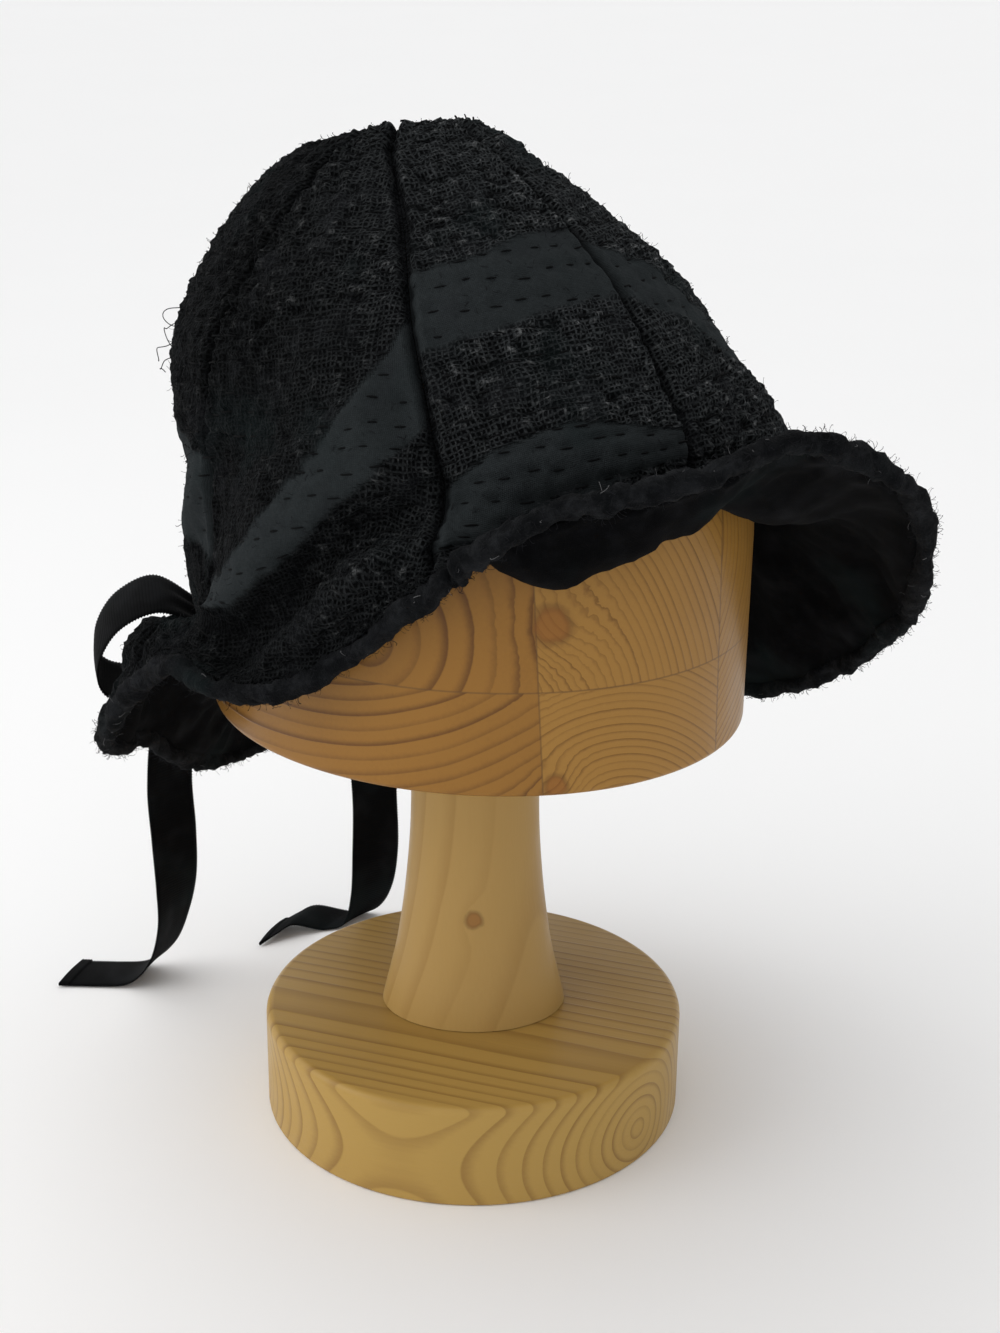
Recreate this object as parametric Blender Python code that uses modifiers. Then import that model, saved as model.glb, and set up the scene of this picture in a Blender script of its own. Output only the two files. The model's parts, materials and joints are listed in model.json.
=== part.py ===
"""A soft six-gore poke bonnet, tied at the nape with a ribbon bow, on its wooden hat stand.

Metres, +Z up. The origin is the centre of the base's underside. The bonnet's front faces -Y and
the wearer's left is +X. An azimuth is counted from the front towards the wearer's left, in degrees.
"""

import math

import bmesh
import bpy
from mathutils import Vector

OBJECT_NAME = "poke_bonnet_on_stand"

# Stand: round base, waisted oval post and oval block
BASE_RADIUS = 0.075
BASE_THICKNESS = 0.037
BASE_EDGE = 0.004
POST_HEIGHT = 0.1178
POST_FOOT_HALF_WIDTH = 0.033
POST_WAIST_HALF_WIDTH = 0.0225
POST_TOP_HALF_WIDTH = 0.0245
POST_FLATNESS = 0.8
POST_TURN = 37.0
BLOCK_HALF_WIDTH = 0.0872
BLOCK_HALF_LENGTH = 0.0963
BLOCK_WALL_HEIGHT = 0.0622
BLOCK_DOME_HEIGHT = 0.0995
BLOCK_DOME_POWER = 2.0
BLOCK_EDGE = 0.002
BLOCK_TURN = -22.0
STAND_GAP = 0.0003
MERGE_DISTANCE = 0.00001

# Cloth walls and the room between pieces
SHELL_WALL = 0.0016
LINING_WALL = 0.0010
PIECE_GAP = 0.0003
BLOCK_ROOM = 0.0006
BLOCK_EASING = 0.0008
SEAM_GAP = 0.0004

# Crown
SEAM_AZIMUTHS = (-16.0, 49.0, 115.0, 180.0, 240.0, 300.0)
APEX_RISE = 0.015
APEX_BACK = 0.039
APEX_HOLE_RADIUS = 0.0012
CROWN_DEPTH = 0.0923
HEAD_EASE = 0.0065
PUFF = 0.0022
# How far each seam turns from the brim to the apex, in degrees, and how steeply it does so
SEAM_SWEEPS = ((24.0, 2.0), (24.0, 2.0), (24.0, 2.0), (24.0, 2.0), (78.0, 2.5), (24.0, 2.0))

# Brim
BRIM_REACH = 0.060
BRIM_DROP = 0.144
EDGE_ROLL_RADIUS = 0.0034
ROLL_ROOM = 0.0005
FOLD_DEPTH = 0.010
FOLD_HALF_WIDTH = 0.011
LINING_TOP_LEVEL = 0.66

# Ribbon
RIBBON_WIDTH = 0.021
RIBBON_THICKNESS = 0.0010
KNOT_RADIUS = 0.0080
KNOT_HALF_HEIGHT = 0.0120
KNOT_EDGE = 0.0025
CINCH_LEVEL = 0.84
LOOP_LENGTH = 0.046
LOOP_HEIGHT = 0.0375
LOOP_TURN = 50.0
LOOP_TILT = 25.0
TAIL_SPREAD = 0.075
FLOOR_GAP = 0.0004

# How finely the forms are faceted
BASE_SEGMENTS = 48
POST_SEGMENTS = 32
BLOCK_SEGMENTS = 48
DOME_STEPS = 7
GORE_COLUMNS = 12
GORE_ROWS = 18
ROLL_SIDES_RESOLUTION = 1
STRIP_STATIONS = 22
SEAT_STEPS = 8

# Crown sections from the apex down: level along the gore, drop as a share of CROWN_DEPTH, radius as a
# share of the head ring, setback as a share of APEX_BACK, and the rise of the ring's front per radius
CROWN_SECTIONS = (
    # level, drop, radius, back, lean
    (0.00, 0.00, 0.00, 1.00, 0.20),
    (0.10, -0.04, 0.24, 1.00, 0.21),
    (0.20, 0.06, 0.40, 1.06, 0.24),
    (0.34, 0.27, 0.625, 0.84, 0.18),
    (0.48, 0.53, 0.825, 0.60, 0.17),
    (0.60, 0.78, 0.915, 0.29, 0.15),
    (0.72, 1.00, 0.965, 0.06, 0.20),
)

# Brim by azimuth: how far the fold under the crown and the edge roll's middle lie below the head ring's
# middle, as shares of BRIM_DROP (negative is above it), how far out they lie, as shares of BRIM_REACH,
# and how far the cloth halfway between them stands above the straight line, as a share of BRIM_REACH
BRIM_SECTIONS = (
    # azimuth, fold drop, fold reach, edge drop, edge reach, arch
    (-172, 0.64, -0.04, 0.93, 0.30, 0.00),
    (-160, 0.61, -0.04, 0.86, 0.30, 0.04),
    (-150, 0.56, -0.03, 0.755, 0.35, 0.14),
    (-142, 0.50, -0.02, 0.715, 0.50, 0.28),
    (-132, 0.42, 0.00, 0.655, 0.55, 0.36),
    (-121, 0.34, 0.00, 0.50, 0.46, 0.20),
    (-110, 0.28, 0.00, 0.37, 0.36, -0.04),
    (-97, 0.25, 0.00, 0.39, 0.28, -0.06),
    (-87, 0.19, 0.00, 0.38, 0.21, -0.04),
    (-75, 0.11, 0.00, 0.29, 0.07, 0.00),
    (-64, 0.05, 0.00, 0.17, 0.10, 0.00),
    (-54, 0.04, 0.00, 0.03, 0.22, -0.03),
    (-43, 0.05, -0.01, -0.07, 0.31, -0.06),
    (-25, -0.03, -0.02, -0.13, 0.41, -0.05),
    (-13, -0.04, 0.00, -0.185, 0.52, -0.02),
    (0, 0.01, 0.06, -0.105, 0.71, 0.04),
    (13, 0.06, 0.10, 0.045, 0.81, 0.08),
    (22, 0.09, 0.14, 0.225, 0.81, 0.10),
    (40, 0.17, 0.22, 0.455, 0.80, 0.08),
    (53, 0.24, 0.24, 0.605, 0.76, 0.06),
    (68, 0.32, 0.20, 0.74, 0.69, 0.04),
    (80, 0.38, 0.14, 0.79, 0.60, 0.02),
    (100, 0.46, 0.07, 0.85, 0.49, 0.04),
    (120, 0.54, 0.02, 0.87, 0.32, -0.02),
    (140, 0.60, -0.02, 0.90, 0.23, 0.03),
    (160, 0.64, -0.04, 0.94, 0.25, -0.02),
    (175, 0.65, -0.04, 0.97, 0.33, 0.03),
)
FOLD_LEVEL = 0.84
BRIM_MIDDLE_LEVEL = 0.92

# Folds and dents: a straight crease between two places, its depth as a share of FOLD_DEPTH (negative
# is a dent) and its half width as a share of FOLD_HALF_WIDTH
FOLDS = (
    # azimuth and level at one end, azimuth and level at the other, depth, half width
    (-68, 0.66, -108, 0.86, 0.75, 0.90),
    (-58, 0.74, -96, 0.90, -0.60, 0.70),
    (-56, 0.82, -88, 0.93, 0.55, 0.65),
    (-84, 0.52, -122, 0.78, -0.30, 0.90),
    (-40, 0.86, -22, 0.86, -0.85, 1.10),
    (-6, 0.80, 8, 0.90, -0.40, 0.90),
    (20, 0.80, 34, 0.96, 0.45, 0.90),
    (52, 0.78, 60, 0.97, -0.40, 0.80),
    (86, 0.78, 92, 0.96, 0.40, 0.80),
    (118, 0.78, 114, 0.96, -0.40, 0.80),
    (150, 0.74, 146, 0.96, 0.35, 0.70),
    (-136, 0.90, -139, 1.00, -0.60, 0.60),
)

# Bow loops: how far out from the knot's side, as a share of LOOP_LENGTH, how high above the knot's
# middle, as a share of LOOP_HEIGHT, and the ribbon's gathered width as a share of its full width
LOOP_ROUTE = (
    # out, rise, width
    (0.00, 0.14, 0.45),
    (0.20, 0.36, 0.75),
    (0.50, 0.56, 1.00),
    (0.80, 0.42, 1.00),
    (0.97, 0.14, 1.00),
    (1.00, -0.15, 1.00),
    (0.88, -0.32, 1.00),
    (0.58, -0.36, 1.00),
    (0.26, -0.22, 0.75),
    (0.00, -0.12, 0.45),
)

# Tails: place across and behind the knot, as shares of TAIL_SPREAD, height as a share of the knot's own
# height, the width's turn in degrees from the wearer's left towards the back, and the share of the width
RIGHT_TAIL_ROUTE = (
    # across, behind, height, turn, width
    (-0.045, 0.04, 0.914, -8, 0.30),
    (-0.12, 0.20, 0.890, -8, 0.75),
    (-0.20, 0.30, 0.790, -8, 1.00),
    (-0.23, 0.34, 0.620, -8, 1.00),
    (-0.23, 0.33, 0.460, -8, 1.00),
    (-0.22, 0.34, 0.320, -2, 1.00),
    (-0.20, 0.40, 0.195, 8, 0.95),
    (-0.20, 0.50, 0.080, 16, 1.00),
    (-0.26, 0.62, 0.012, 22, 1.00),
    (-0.36, 0.77, 0.000, 22, 1.00),
    (-0.48, 0.94, 0.000, 22, 1.00),
)
LEFT_TAIL_ROUTE = (
    # across, behind, height, turn, width
    (0.045, 0.04, 0.914, -4, 0.30),
    (0.28, 0.14, 0.890, -10, 0.70),
    (0.66, 0.06, 0.800, -24, 1.00),
    (0.90, 0.00, 0.690, -32, 1.00),
    (0.96, -0.02, 0.560, -32, 1.00),
    (0.97, -0.03, 0.410, -22, 1.00),
    (0.97, -0.03, 0.250, -28, 1.00),
    (0.98, 0.01, 0.110, -18, 1.00),
    (0.98, 0.10, 0.014, -4, 1.00),
    (0.89, 0.20, 0.000, 6, 1.00),
    (0.74, 0.31, 0.030, 12, 1.00),
    (0.64, 0.35, 0.020, 16, 1.00),
    (0.52, 0.39, 0.000, 19, 1.00),
)

# Finishes: colour, roughness, metallic
FINISHES = {
    "pine": ((0.72, 0.47, 0.22, 1.0), 0.38, 0.0),
    "quilted_gauze": ((0.010, 0.012, 0.014, 1.0), 0.95, 0.0),
    "lining_cotton": ((0.008, 0.009, 0.011, 1.0), 0.90, 0.0),
    "frayed_edge": ((0.016, 0.018, 0.020, 1.0), 1.0, 0.0),
    "grosgrain": ((0.014, 0.016, 0.018, 1.0), 0.70, 0.0),
}

POST_BASE_LEVEL = BASE_THICKNESS + STAND_GAP
BLOCK_BASE_LEVEL = POST_BASE_LEVEL + POST_HEIGHT + STAND_GAP
DOME_BASE_LEVEL = BLOCK_BASE_LEVEL + BLOCK_WALL_HEIGHT
BLOCK_TOP_LEVEL = DOME_BASE_LEVEL + BLOCK_DOME_HEIGHT
APEX_LEVEL = BLOCK_TOP_LEVEL + APEX_RISE
HEAD_LEVEL = APEX_LEVEL - CROWN_DEPTH
CLOTH_WALL = SHELL_WALL + PIECE_GAP + LINING_WALL
COVER = CLOTH_WALL + BLOCK_ROOM


def clear_scene():
    for item in list(bpy.data.objects):
        bpy.data.objects.remove(item, do_unlink=True)


def finish(name):
    """The material of this name, made on first use."""
    material = bpy.data.materials.get(name)
    if material is None:
        material = bpy.data.materials.new(name)
        material.use_nodes = True
        colour, roughness, metallic = FINISHES[name]
        shader = material.node_tree.nodes["Principled BSDF"]
        shader.inputs["Base Color"].default_value = colour
        shader.inputs["Roughness"].default_value = roughness
        shader.inputs["Metallic"].default_value = metallic
        material.diffuse_color = colour
    return material


def add_piece(name, data, material, collection):
    piece = bpy.data.objects.new(name, data)
    data.materials.append(finish(material))
    collection.objects.link(piece)
    return piece


def mesh_from(name, points, faces):
    """A closed mesh from points and faces, its faces pointing out."""
    mesh = bpy.data.meshes.new(name)
    mesh.from_pydata([tuple(point) for point in points], [], faces)
    shape = bmesh.new()
    shape.from_mesh(mesh)
    bmesh.ops.recalc_face_normals(shape, faces=shape.faces)
    shape.to_mesh(mesh)
    shape.free()
    mesh.shade_smooth()
    mesh.set_sharp_from_angle(angle=math.radians(50))
    return mesh


def curve_through(knots, values, at):
    """A smooth cubic through values at the increasing knots."""
    last = len(knots) - 1
    index = 0
    while index < last - 1 and at > knots[index + 1]:
        index += 1

    def slope(k):
        low = max(k - 1, 0)
        high = min(k + 1, last)
        return (values[high] - values[low]) / (knots[high] - knots[low])

    span = knots[index + 1] - knots[index]
    t = (at - knots[index]) / span
    start = values[index]
    end = values[index + 1]
    ease = t * t * (3.0 - 2.0 * t)
    leave = slope(index) * (span * t * (1.0 - t) ** 2)
    arrive = slope(index + 1) * (span * t * t * (1.0 - t))
    return start + (end - start) * ease + leave - arrive


def around(rows, column, azimuth):
    """A column of a table of azimuths, read smoothly at any azimuth."""
    wrapped = (azimuth + 180.0) % 360.0 - 180.0
    knots = [rows[k][0] - 360.0 for k in (-2, -1)]
    knots += [row[0] for row in rows]
    knots += [rows[k][0] + 360.0 for k in (0, 1)]
    values = [rows[k][column] for k in (-2, -1)]
    values += [row[column] for row in rows]
    values += [rows[k][column] for k in (0, 1)]
    return curve_through(knots, values, wrapped)


def heading(azimuth):
    angle = math.radians(azimuth)
    return Vector((math.sin(angle), -math.cos(angle), 0.0))


def block_radius(azimuth):
    """The block wall's distance from its axis."""
    angle = math.radians(azimuth - BLOCK_TURN)
    across = BLOCK_HALF_WIDTH * math.cos(angle)
    along = BLOCK_HALF_LENGTH * math.sin(angle)
    return BLOCK_HALF_WIDTH * BLOCK_HALF_LENGTH / math.hypot(across, along)


def head_radius(azimuth):
    return block_radius(azimuth) + HEAD_EASE


def clear_of_block(point):
    """The point moved out, where it has to, so that the cloth's whole wall clears the block."""
    centre = Vector((0.0, 0.0, min(point.z, DOME_BASE_LEVEL)))
    arm = point - centre
    flat = math.hypot(arm.x, arm.y)
    azimuth = math.degrees(math.atan2(arm.x, -arm.y))
    climb = math.atan2(arm.z, flat)
    power = BLOCK_DOME_POWER
    wide = (math.cos(climb) / block_radius(azimuth)) ** power
    high = (math.sin(climb) / BLOCK_DOME_HEIGHT) ** power
    least = (wide + high) ** (-1.0 / power) + COVER
    spare = (arm.length - least) / BLOCK_EASING
    if spare > 20.0 or point.z < BLOCK_BASE_LEVEL - 0.5 * BRIM_REACH:
        return point
    reach = least + BLOCK_EASING * math.log1p(math.exp(spare))
    return centre + arm * (reach / arm.length)


def crown_point(row, azimuth):
    level, drop, radius, back, lean = row
    reach = max(radius * head_radius(azimuth), APEX_HOLE_RADIUS)
    place = heading(azimuth) * reach
    place.y += back * APEX_BACK
    rise = lean * reach * math.cos(math.radians(azimuth))
    place.z = APEX_LEVEL - drop * CROWN_DEPTH + rise
    return place


def gore_line(azimuth):
    """Levels and points of one gore line, from the apex to the brim's edge."""
    levels = [row[0] for row in CROWN_SECTIONS] + [FOLD_LEVEL, BRIM_MIDDLE_LEVEL, 1.0]
    points = [crown_point(row, azimuth) for row in CROWN_SECTIONS]
    ends = []
    for drop_column, reach_column in ((1, 2), (3, 4)):
        reach = head_radius(azimuth) + BRIM_REACH * around(BRIM_SECTIONS, reach_column, azimuth)
        place = heading(azimuth) * reach
        place.z = HEAD_LEVEL - BRIM_DROP * around(BRIM_SECTIONS, drop_column, azimuth)
        ends.append(place)
    fold, edge = ends
    middle = (fold + edge) * 0.5
    middle.z += BRIM_REACH * around(BRIM_SECTIONS, 5, azimuth)
    edge -= (edge - middle).normalized() * (EDGE_ROLL_RADIUS + ROLL_ROOM)
    return levels, points + [fold, middle, edge]


def fold_height(azimuth, level):
    """How far the folds lift the cloth here, along its normal."""
    girth = 2.0 * math.pi * (BLOCK_HALF_WIDTH + HEAD_EASE) / 360.0
    length = CROWN_DEPTH + BRIM_REACH
    height = 0.0
    for start, start_level, end, end_level, depth, width in FOLDS:
        run = Vector(((end - start) * girth, (end_level - start_level) * length))
        away = (azimuth - start + 180.0) % 360.0 - 180.0
        here = Vector((away * girth, (level - start_level) * length))
        share = min(max(here.dot(run) / run.length_squared, 0.0), 1.0)
        distance = (here - run * share).length / (width * FOLD_HALF_WIDTH)
        height += depth * FOLD_DEPTH * math.exp(-distance * distance)
    return height


def puff_height(share, level):
    """Each gore stands a little proud between its seams; the share runs from one seam to the next."""
    fade = min(level / 0.2, 1.0) * min((1.0 - level) / 0.3, 1.0)
    return PUFF * fade * math.sqrt(math.sin(math.pi * share))


def seam_azimuth(number, level):
    """A seam's azimuth at this level; past the last seam the count goes on round the bonnet."""
    turns, seam = divmod(number, len(SEAM_AZIMUTHS))
    sweep, power = SEAM_SWEEPS[seam]
    return SEAM_AZIMUTHS[seam] + 360.0 * turns + sweep * (1.0 - level) ** power


class Cloth:
    """The bonnet's outer face and its normal, worked out once for each column and row."""

    def __init__(self):
        self.columns = len(SEAM_AZIMUTHS) * GORE_COLUMNS
        self.levels = [row / GORE_ROWS for row in range(GORE_ROWS + 1)]
        self.azimuths = []
        for k in range(self.columns):
            gore, step = divmod(k, GORE_COLUMNS)
            ends = [[seam_azimuth(seam, level) for level in self.levels] for seam in (gore, gore + 1)]
            share = step / GORE_COLUMNS
            self.azimuths.append([first + (second - first) * share for first, second in zip(*ends)])
        plain = [self.column(azimuths) for azimuths in self.azimuths]
        flat_normals = self.normals_of(plain)
        self.outer = []
        for k, azimuths in enumerate(self.azimuths):
            column = []
            for row, level in enumerate(self.levels):
                height = fold_height(azimuths[row], level)
                height += puff_height(k % GORE_COLUMNS / GORE_COLUMNS, level)
                column.append(clear_of_block(plain[k][row] + flat_normals[k][row] * height))
            self.outer.append(column)
        self.normals = self.normals_of(self.outer)

    def column(self, azimuths):
        """One line down the cloth, at its own azimuth at each level."""
        column = []
        for azimuth, level in zip(azimuths, self.levels):
            levels, points = gore_line(azimuth)
            column.append(curve_through(levels, points, level))
        return column

    def normals_of(self, grid):
        """Outward normals from each point's four neighbours."""
        normals = []
        for k in range(self.columns):
            ahead = grid[(k + 1) % self.columns]
            behind = grid[k - 1]
            column = []
            for row in range(len(self.levels)):
                low = max(row - 1, 0)
                high = min(row + 1, GORE_ROWS)
                across = ahead[row] - behind[row]
                down = grid[k][high] - grid[k][low]
                column.append(down.cross(across).normalized())
            normals.append(column)
        return normals

    def sunk(self, k, row, depth):
        """The point this deep under the outer face."""
        k %= self.columns
        return self.outer[k][row] - self.normals[k][row] * depth

    def beside_seam(self, k, row, depth, side):
        """A seam's point moved along the surface by half the seam's gap."""
        k %= self.columns
        point = self.sunk(k, row, depth)
        across = self.outer[(k + side) % self.columns][row] - self.outer[k][row]
        return point + across.normalized() * min(0.5 * SEAM_GAP, 0.3 * across.length)


def wall_between(name, grid_out, grid_in, closed):
    """A closed wall between two grids of columns; a closed one runs all the way round."""
    columns = len(grid_out)
    rows = len(grid_out[0])
    points = [point for column in grid_out + grid_in for point in column]
    size = columns * rows

    def at(layer, column, row):
        return layer * size + (column % columns) * rows + row

    faces = []
    for column in range(columns if closed else columns - 1):
        for row in range(rows - 1):
            ring = [(column, row), (column + 1, row), (column + 1, row + 1), (column, row + 1)]
            for half in (ring[:3], [ring[2], ring[3], ring[0]]):
                faces.append([at(0, c, r) for c, r in half])
                faces.append([at(1, c, r) for c, r in reversed(half)])
        for row in (0, rows - 1):
            faces.append([at(0, column, row), at(0, column + 1, row), at(1, column + 1, row), at(1, column, row)])
    if not closed:
        for column in (0, columns - 1):
            for row in range(rows - 1):
                faces.append([at(0, column, row), at(0, column, row + 1), at(1, column, row + 1), at(1, column, row)])
    return mesh_from(name, points, faces)


GORE_NAMES = (
    "gore_front_left",
    "gore_side_left",
    "gore_back_left",
    "gore_back_right",
    "gore_side_right",
    "gore_front_right",
)


def make_gores(cloth, collection):
    for index, name in enumerate(GORE_NAMES):
        first = index * GORE_COLUMNS
        grids = []
        for depth in (0.0, SHELL_WALL):
            grid = []
            for k in range(first, first + GORE_COLUMNS + 1):
                side = {first: 1, first + GORE_COLUMNS: -1}.get(k, 0)
                rows = range(GORE_ROWS + 1)
                if side:
                    grid.append([cloth.beside_seam(k, row, depth, side) for row in rows])
                else:
                    grid.append([cloth.sunk(k, row, depth) for row in rows])
            grids.append(grid)
        mesh = wall_between(name, grids[0], grids[1], closed=False)
        add_piece(name, mesh, "quilted_gauze", collection)


def make_lining(cloth, collection):
    first_row = round(LINING_TOP_LEVEL * GORE_ROWS)
    grids = []
    for depth in (SHELL_WALL + PIECE_GAP, CLOTH_WALL):
        columns = range(cloth.columns)
        grids.append([[cloth.sunk(k, row, depth) for row in range(first_row, GORE_ROWS + 1)] for k in columns])
    add_piece("lining", wall_between("lining", grids[0], grids[1], closed=True), "lining_cotton", collection)


def make_brim_edge(cloth, collection):
    """The rolled edge, a closed tube just past the ends of the gores and the lining."""
    curve = bpy.data.curves.new("brim_edge", "CURVE")
    curve.dimensions = "3D"
    curve.bevel_depth = EDGE_ROLL_RADIUS
    curve.bevel_resolution = ROLL_SIDES_RESOLUTION
    spline = curve.splines.new("POLY")
    spline.points.add(cloth.columns - 1)
    rims = [cloth.sunk(k, GORE_ROWS, 0.5 * CLOTH_WALL) for k in range(cloth.columns)]
    for k, rim in enumerate(rims):
        along = (rims[(k + 1) % cloth.columns] - rims[k - 1]).normalized()
        outward = rim - cloth.sunk(k, GORE_ROWS - 1, 0.5 * CLOTH_WALL)
        outward = (outward - along * outward.dot(along)).normalized()
        spline.points[k].co = (*(rim + outward * (EDGE_ROLL_RADIUS + ROLL_ROOM)), 1.0)
    spline.use_cyclic_u = True
    add_piece("brim_edge", curve, "frayed_edge", collection)


def strip_mesh(name, centres, widths):
    """A ribbon's closed strip along the centres; each width is a vector across it."""
    columns_out = []
    columns_in = []
    for k, centre in enumerate(centres):
        ahead = centres[min(k + 1, len(centres) - 1)]
        behind = centres[max(k - 1, 0)]
        normal = widths[k].cross(ahead - behind).normalized() * (0.5 * RIBBON_THICKNESS)
        sides = (centre - widths[k] * 0.5, centre + widths[k] * 0.5)
        columns_out.append([side + normal for side in sides])
        columns_in.append([side - normal for side in sides])
    return wall_between(name, columns_out, columns_in, closed=False)


def knot_radius(rise):
    """The knot's radius this far above or below its middle, or none past its ends."""
    beyond = abs(rise) - (KNOT_HALF_HEIGHT - KNOT_EDGE)
    if beyond <= 0.0:
        return KNOT_RADIUS
    if beyond >= KNOT_EDGE:
        return 0.0
    return KNOT_RADIUS - KNOT_EDGE + math.sqrt(KNOT_EDGE ** 2 - beyond ** 2)


def knot_place(cloth):
    """The knot's middle, seated on the back seam where the ribbon draws the nape in."""
    back = SEAM_AZIMUTHS.index(180.0) * GORE_COLUMNS
    level = cloth.outer[back][round(CINCH_LEVEL * GORE_ROWS)].z
    shares = [step / SEAT_STEPS for step in range(SEAT_STEPS + 1)]
    seat = 0.0
    for k in range(back - 3, back + 3):
        for row in range(GORE_ROWS):
            for across in shares:
                above = cloth.outer[k][row].lerp(cloth.outer[k + 1][row], across)
                below = cloth.outer[k][row + 1].lerp(cloth.outer[k + 1][row + 1], across)
                for down in shares:
                    point = above.lerp(below, down)
                    radius = knot_radius(point.z - level)
                    if abs(point.x) < radius:
                        seat = max(seat, point.y + math.sqrt(radius ** 2 - point.x ** 2))
    return Vector((0.0, seat + PIECE_GAP, level))


def make_knot(place, collection):
    bpy.ops.mesh.primitive_cylinder_add(vertices=16, radius=KNOT_RADIUS, depth=2.0 * KNOT_HALF_HEIGHT)
    knot = bpy.context.object
    knot.name = "knot"
    knot.data.name = "knot"
    knot.location = place
    rounding = knot.modifiers.new("rounding", "BEVEL")
    rounding.width = KNOT_EDGE
    rounding.segments = 2
    knot.data.materials.append(finish("grosgrain"))
    for holder in list(knot.users_collection):
        holder.objects.unlink(knot)
    collection.objects.link(knot)


def make_loop(name, side, place, collection):
    """A bow loop in an upright plane, on the side where side is -1 for the wearer's right."""
    out = heading(180.0 - side * LOOP_TURN)
    across = Vector((-out.y * side, out.x * side, 0.0))
    tilt = math.radians(LOOP_TILT)
    width = (across * math.cos(tilt) + Vector((0.0, 0.0, math.sin(tilt)))) * RIBBON_WIDTH
    start = place + out * (KNOT_RADIUS + PIECE_GAP)
    knots = [k / (len(LOOP_ROUTE) - 1) for k in range(len(LOOP_ROUTE))]
    points = []
    for reach, rise, share in LOOP_ROUTE:
        points.append(start + out * (reach * LOOP_LENGTH) + Vector((0.0, 0.0, rise * LOOP_HEIGHT)))
    steps = [k / STRIP_STATIONS for k in range(STRIP_STATIONS + 1)]
    centres = [curve_through(knots, points, step) for step in steps]
    shares = [curve_through(knots, [row[2] for row in LOOP_ROUTE], step) for step in steps]
    mesh = strip_mesh(name, centres, [width * share for share in shares])
    add_piece(name, mesh, "grosgrain", collection)


def make_tail(name, route, place, collection):
    """A tail from the knot down to the surface that the stand rests on."""
    floor = FLOOR_GAP + 0.5 * RIBBON_THICKNESS
    knots = [k / (len(route) - 1) for k in range(len(route))]
    points = []
    widths = []
    for across, behind, height, turn, share in route:
        points.append(
            Vector(
                (
                    place.x + across * TAIL_SPREAD,
                    place.y + behind * TAIL_SPREAD,
                    floor + height * (place.z - floor),
                )
            )
        )
        angle = math.radians(turn)
        widths.append(Vector((math.cos(angle), math.sin(angle), 0.0)) * (share * RIBBON_WIDTH))
    steps = [k / STRIP_STATIONS for k in range(STRIP_STATIONS + 1)]
    centres = [curve_through(knots, points, step) for step in steps]
    for centre in centres:
        centre.z = max(centre.z, floor)
    mesh = strip_mesh(name, centres, [curve_through(knots, widths, step) for step in steps])
    add_piece(name, mesh, "grosgrain", collection)


def turned(name, profile, segments, level, collection):
    """A turned solid of wood from its profile, given as radius and height from top to bottom."""
    mesh = bpy.data.meshes.new(name)
    edges = [(k, k + 1) for k in range(len(profile) - 1)]
    mesh.from_pydata([(radius, 0.0, height) for radius, height in profile], edges, [])
    piece = add_piece(name, mesh, "pine", collection)
    piece.location.z = level
    screw = piece.modifiers.new("turning", "SCREW")
    screw.steps = segments
    screw.render_steps = segments
    screw.use_merge_vertices = True
    screw.merge_threshold = MERGE_DISTANCE
    return piece


def make_base(collection):
    edge = BASE_EDGE
    profile = [(0.0, BASE_THICKNESS)]
    for step in range(4):
        angle = math.radians(90.0 - 30.0 * step)
        corner = BASE_RADIUS - edge
        profile.append((corner + edge * math.cos(angle), BASE_THICKNESS - edge + edge * math.sin(angle)))
    profile += [(BASE_RADIUS, 0.25 * edge), (BASE_RADIUS - 0.25 * edge, 0.0), (0.0, 0.0)]
    turned("stand_base", profile, BASE_SEGMENTS, 0.0, collection)


def make_post(collection):
    """The post, waisted above its middle and flared at the foot."""
    heights = (0.0, 0.22, 0.5, 0.74, 1.0)
    flare = POST_FOOT_HALF_WIDTH - POST_WAIST_HALF_WIDTH
    radii = (
        POST_FOOT_HALF_WIDTH,
        POST_WAIST_HALF_WIDTH + 0.45 * flare,
        POST_WAIST_HALF_WIDTH + 0.08 * flare,
        POST_WAIST_HALF_WIDTH,
        POST_TOP_HALF_WIDTH,
    )
    steps = 8
    profile = [(0.0, POST_HEIGHT)]
    for step in range(steps, -1, -1):
        share = step / steps
        profile.append((curve_through(heights, radii, share), share * POST_HEIGHT))
    profile.append((0.0, 0.0))
    post = turned("stand_post", profile, POST_SEGMENTS, POST_BASE_LEVEL, collection)
    post.scale = (1.0, POST_FLATNESS, 1.0)
    post.rotation_euler.z = math.radians(POST_TURN - 90.0)


def make_block(collection):
    """The oval block: a straight wall under a dome."""
    wide = BLOCK_HALF_LENGTH
    profile = []
    for step in range(DOME_STEPS):
        climb = 0.5 * math.pi * (1.0 - step / DOME_STEPS)
        out = abs(math.cos(climb)) ** (2.0 / BLOCK_DOME_POWER)
        up = math.sin(climb) ** (2.0 / BLOCK_DOME_POWER)
        profile.append((0.0 if step == 0 else wide * out, BLOCK_WALL_HEIGHT + BLOCK_DOME_HEIGHT * up))
    profile += [(wide, BLOCK_WALL_HEIGHT), (wide, BLOCK_EDGE), (wide - BLOCK_EDGE, 0.0), (0.0, 0.0)]
    block = turned("stand_block", profile, BLOCK_SEGMENTS, BLOCK_BASE_LEVEL, collection)
    block.scale = (BLOCK_HALF_WIDTH / BLOCK_HALF_LENGTH, 1.0, 1.0)
    block.rotation_euler.z = math.radians(BLOCK_TURN)


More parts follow.
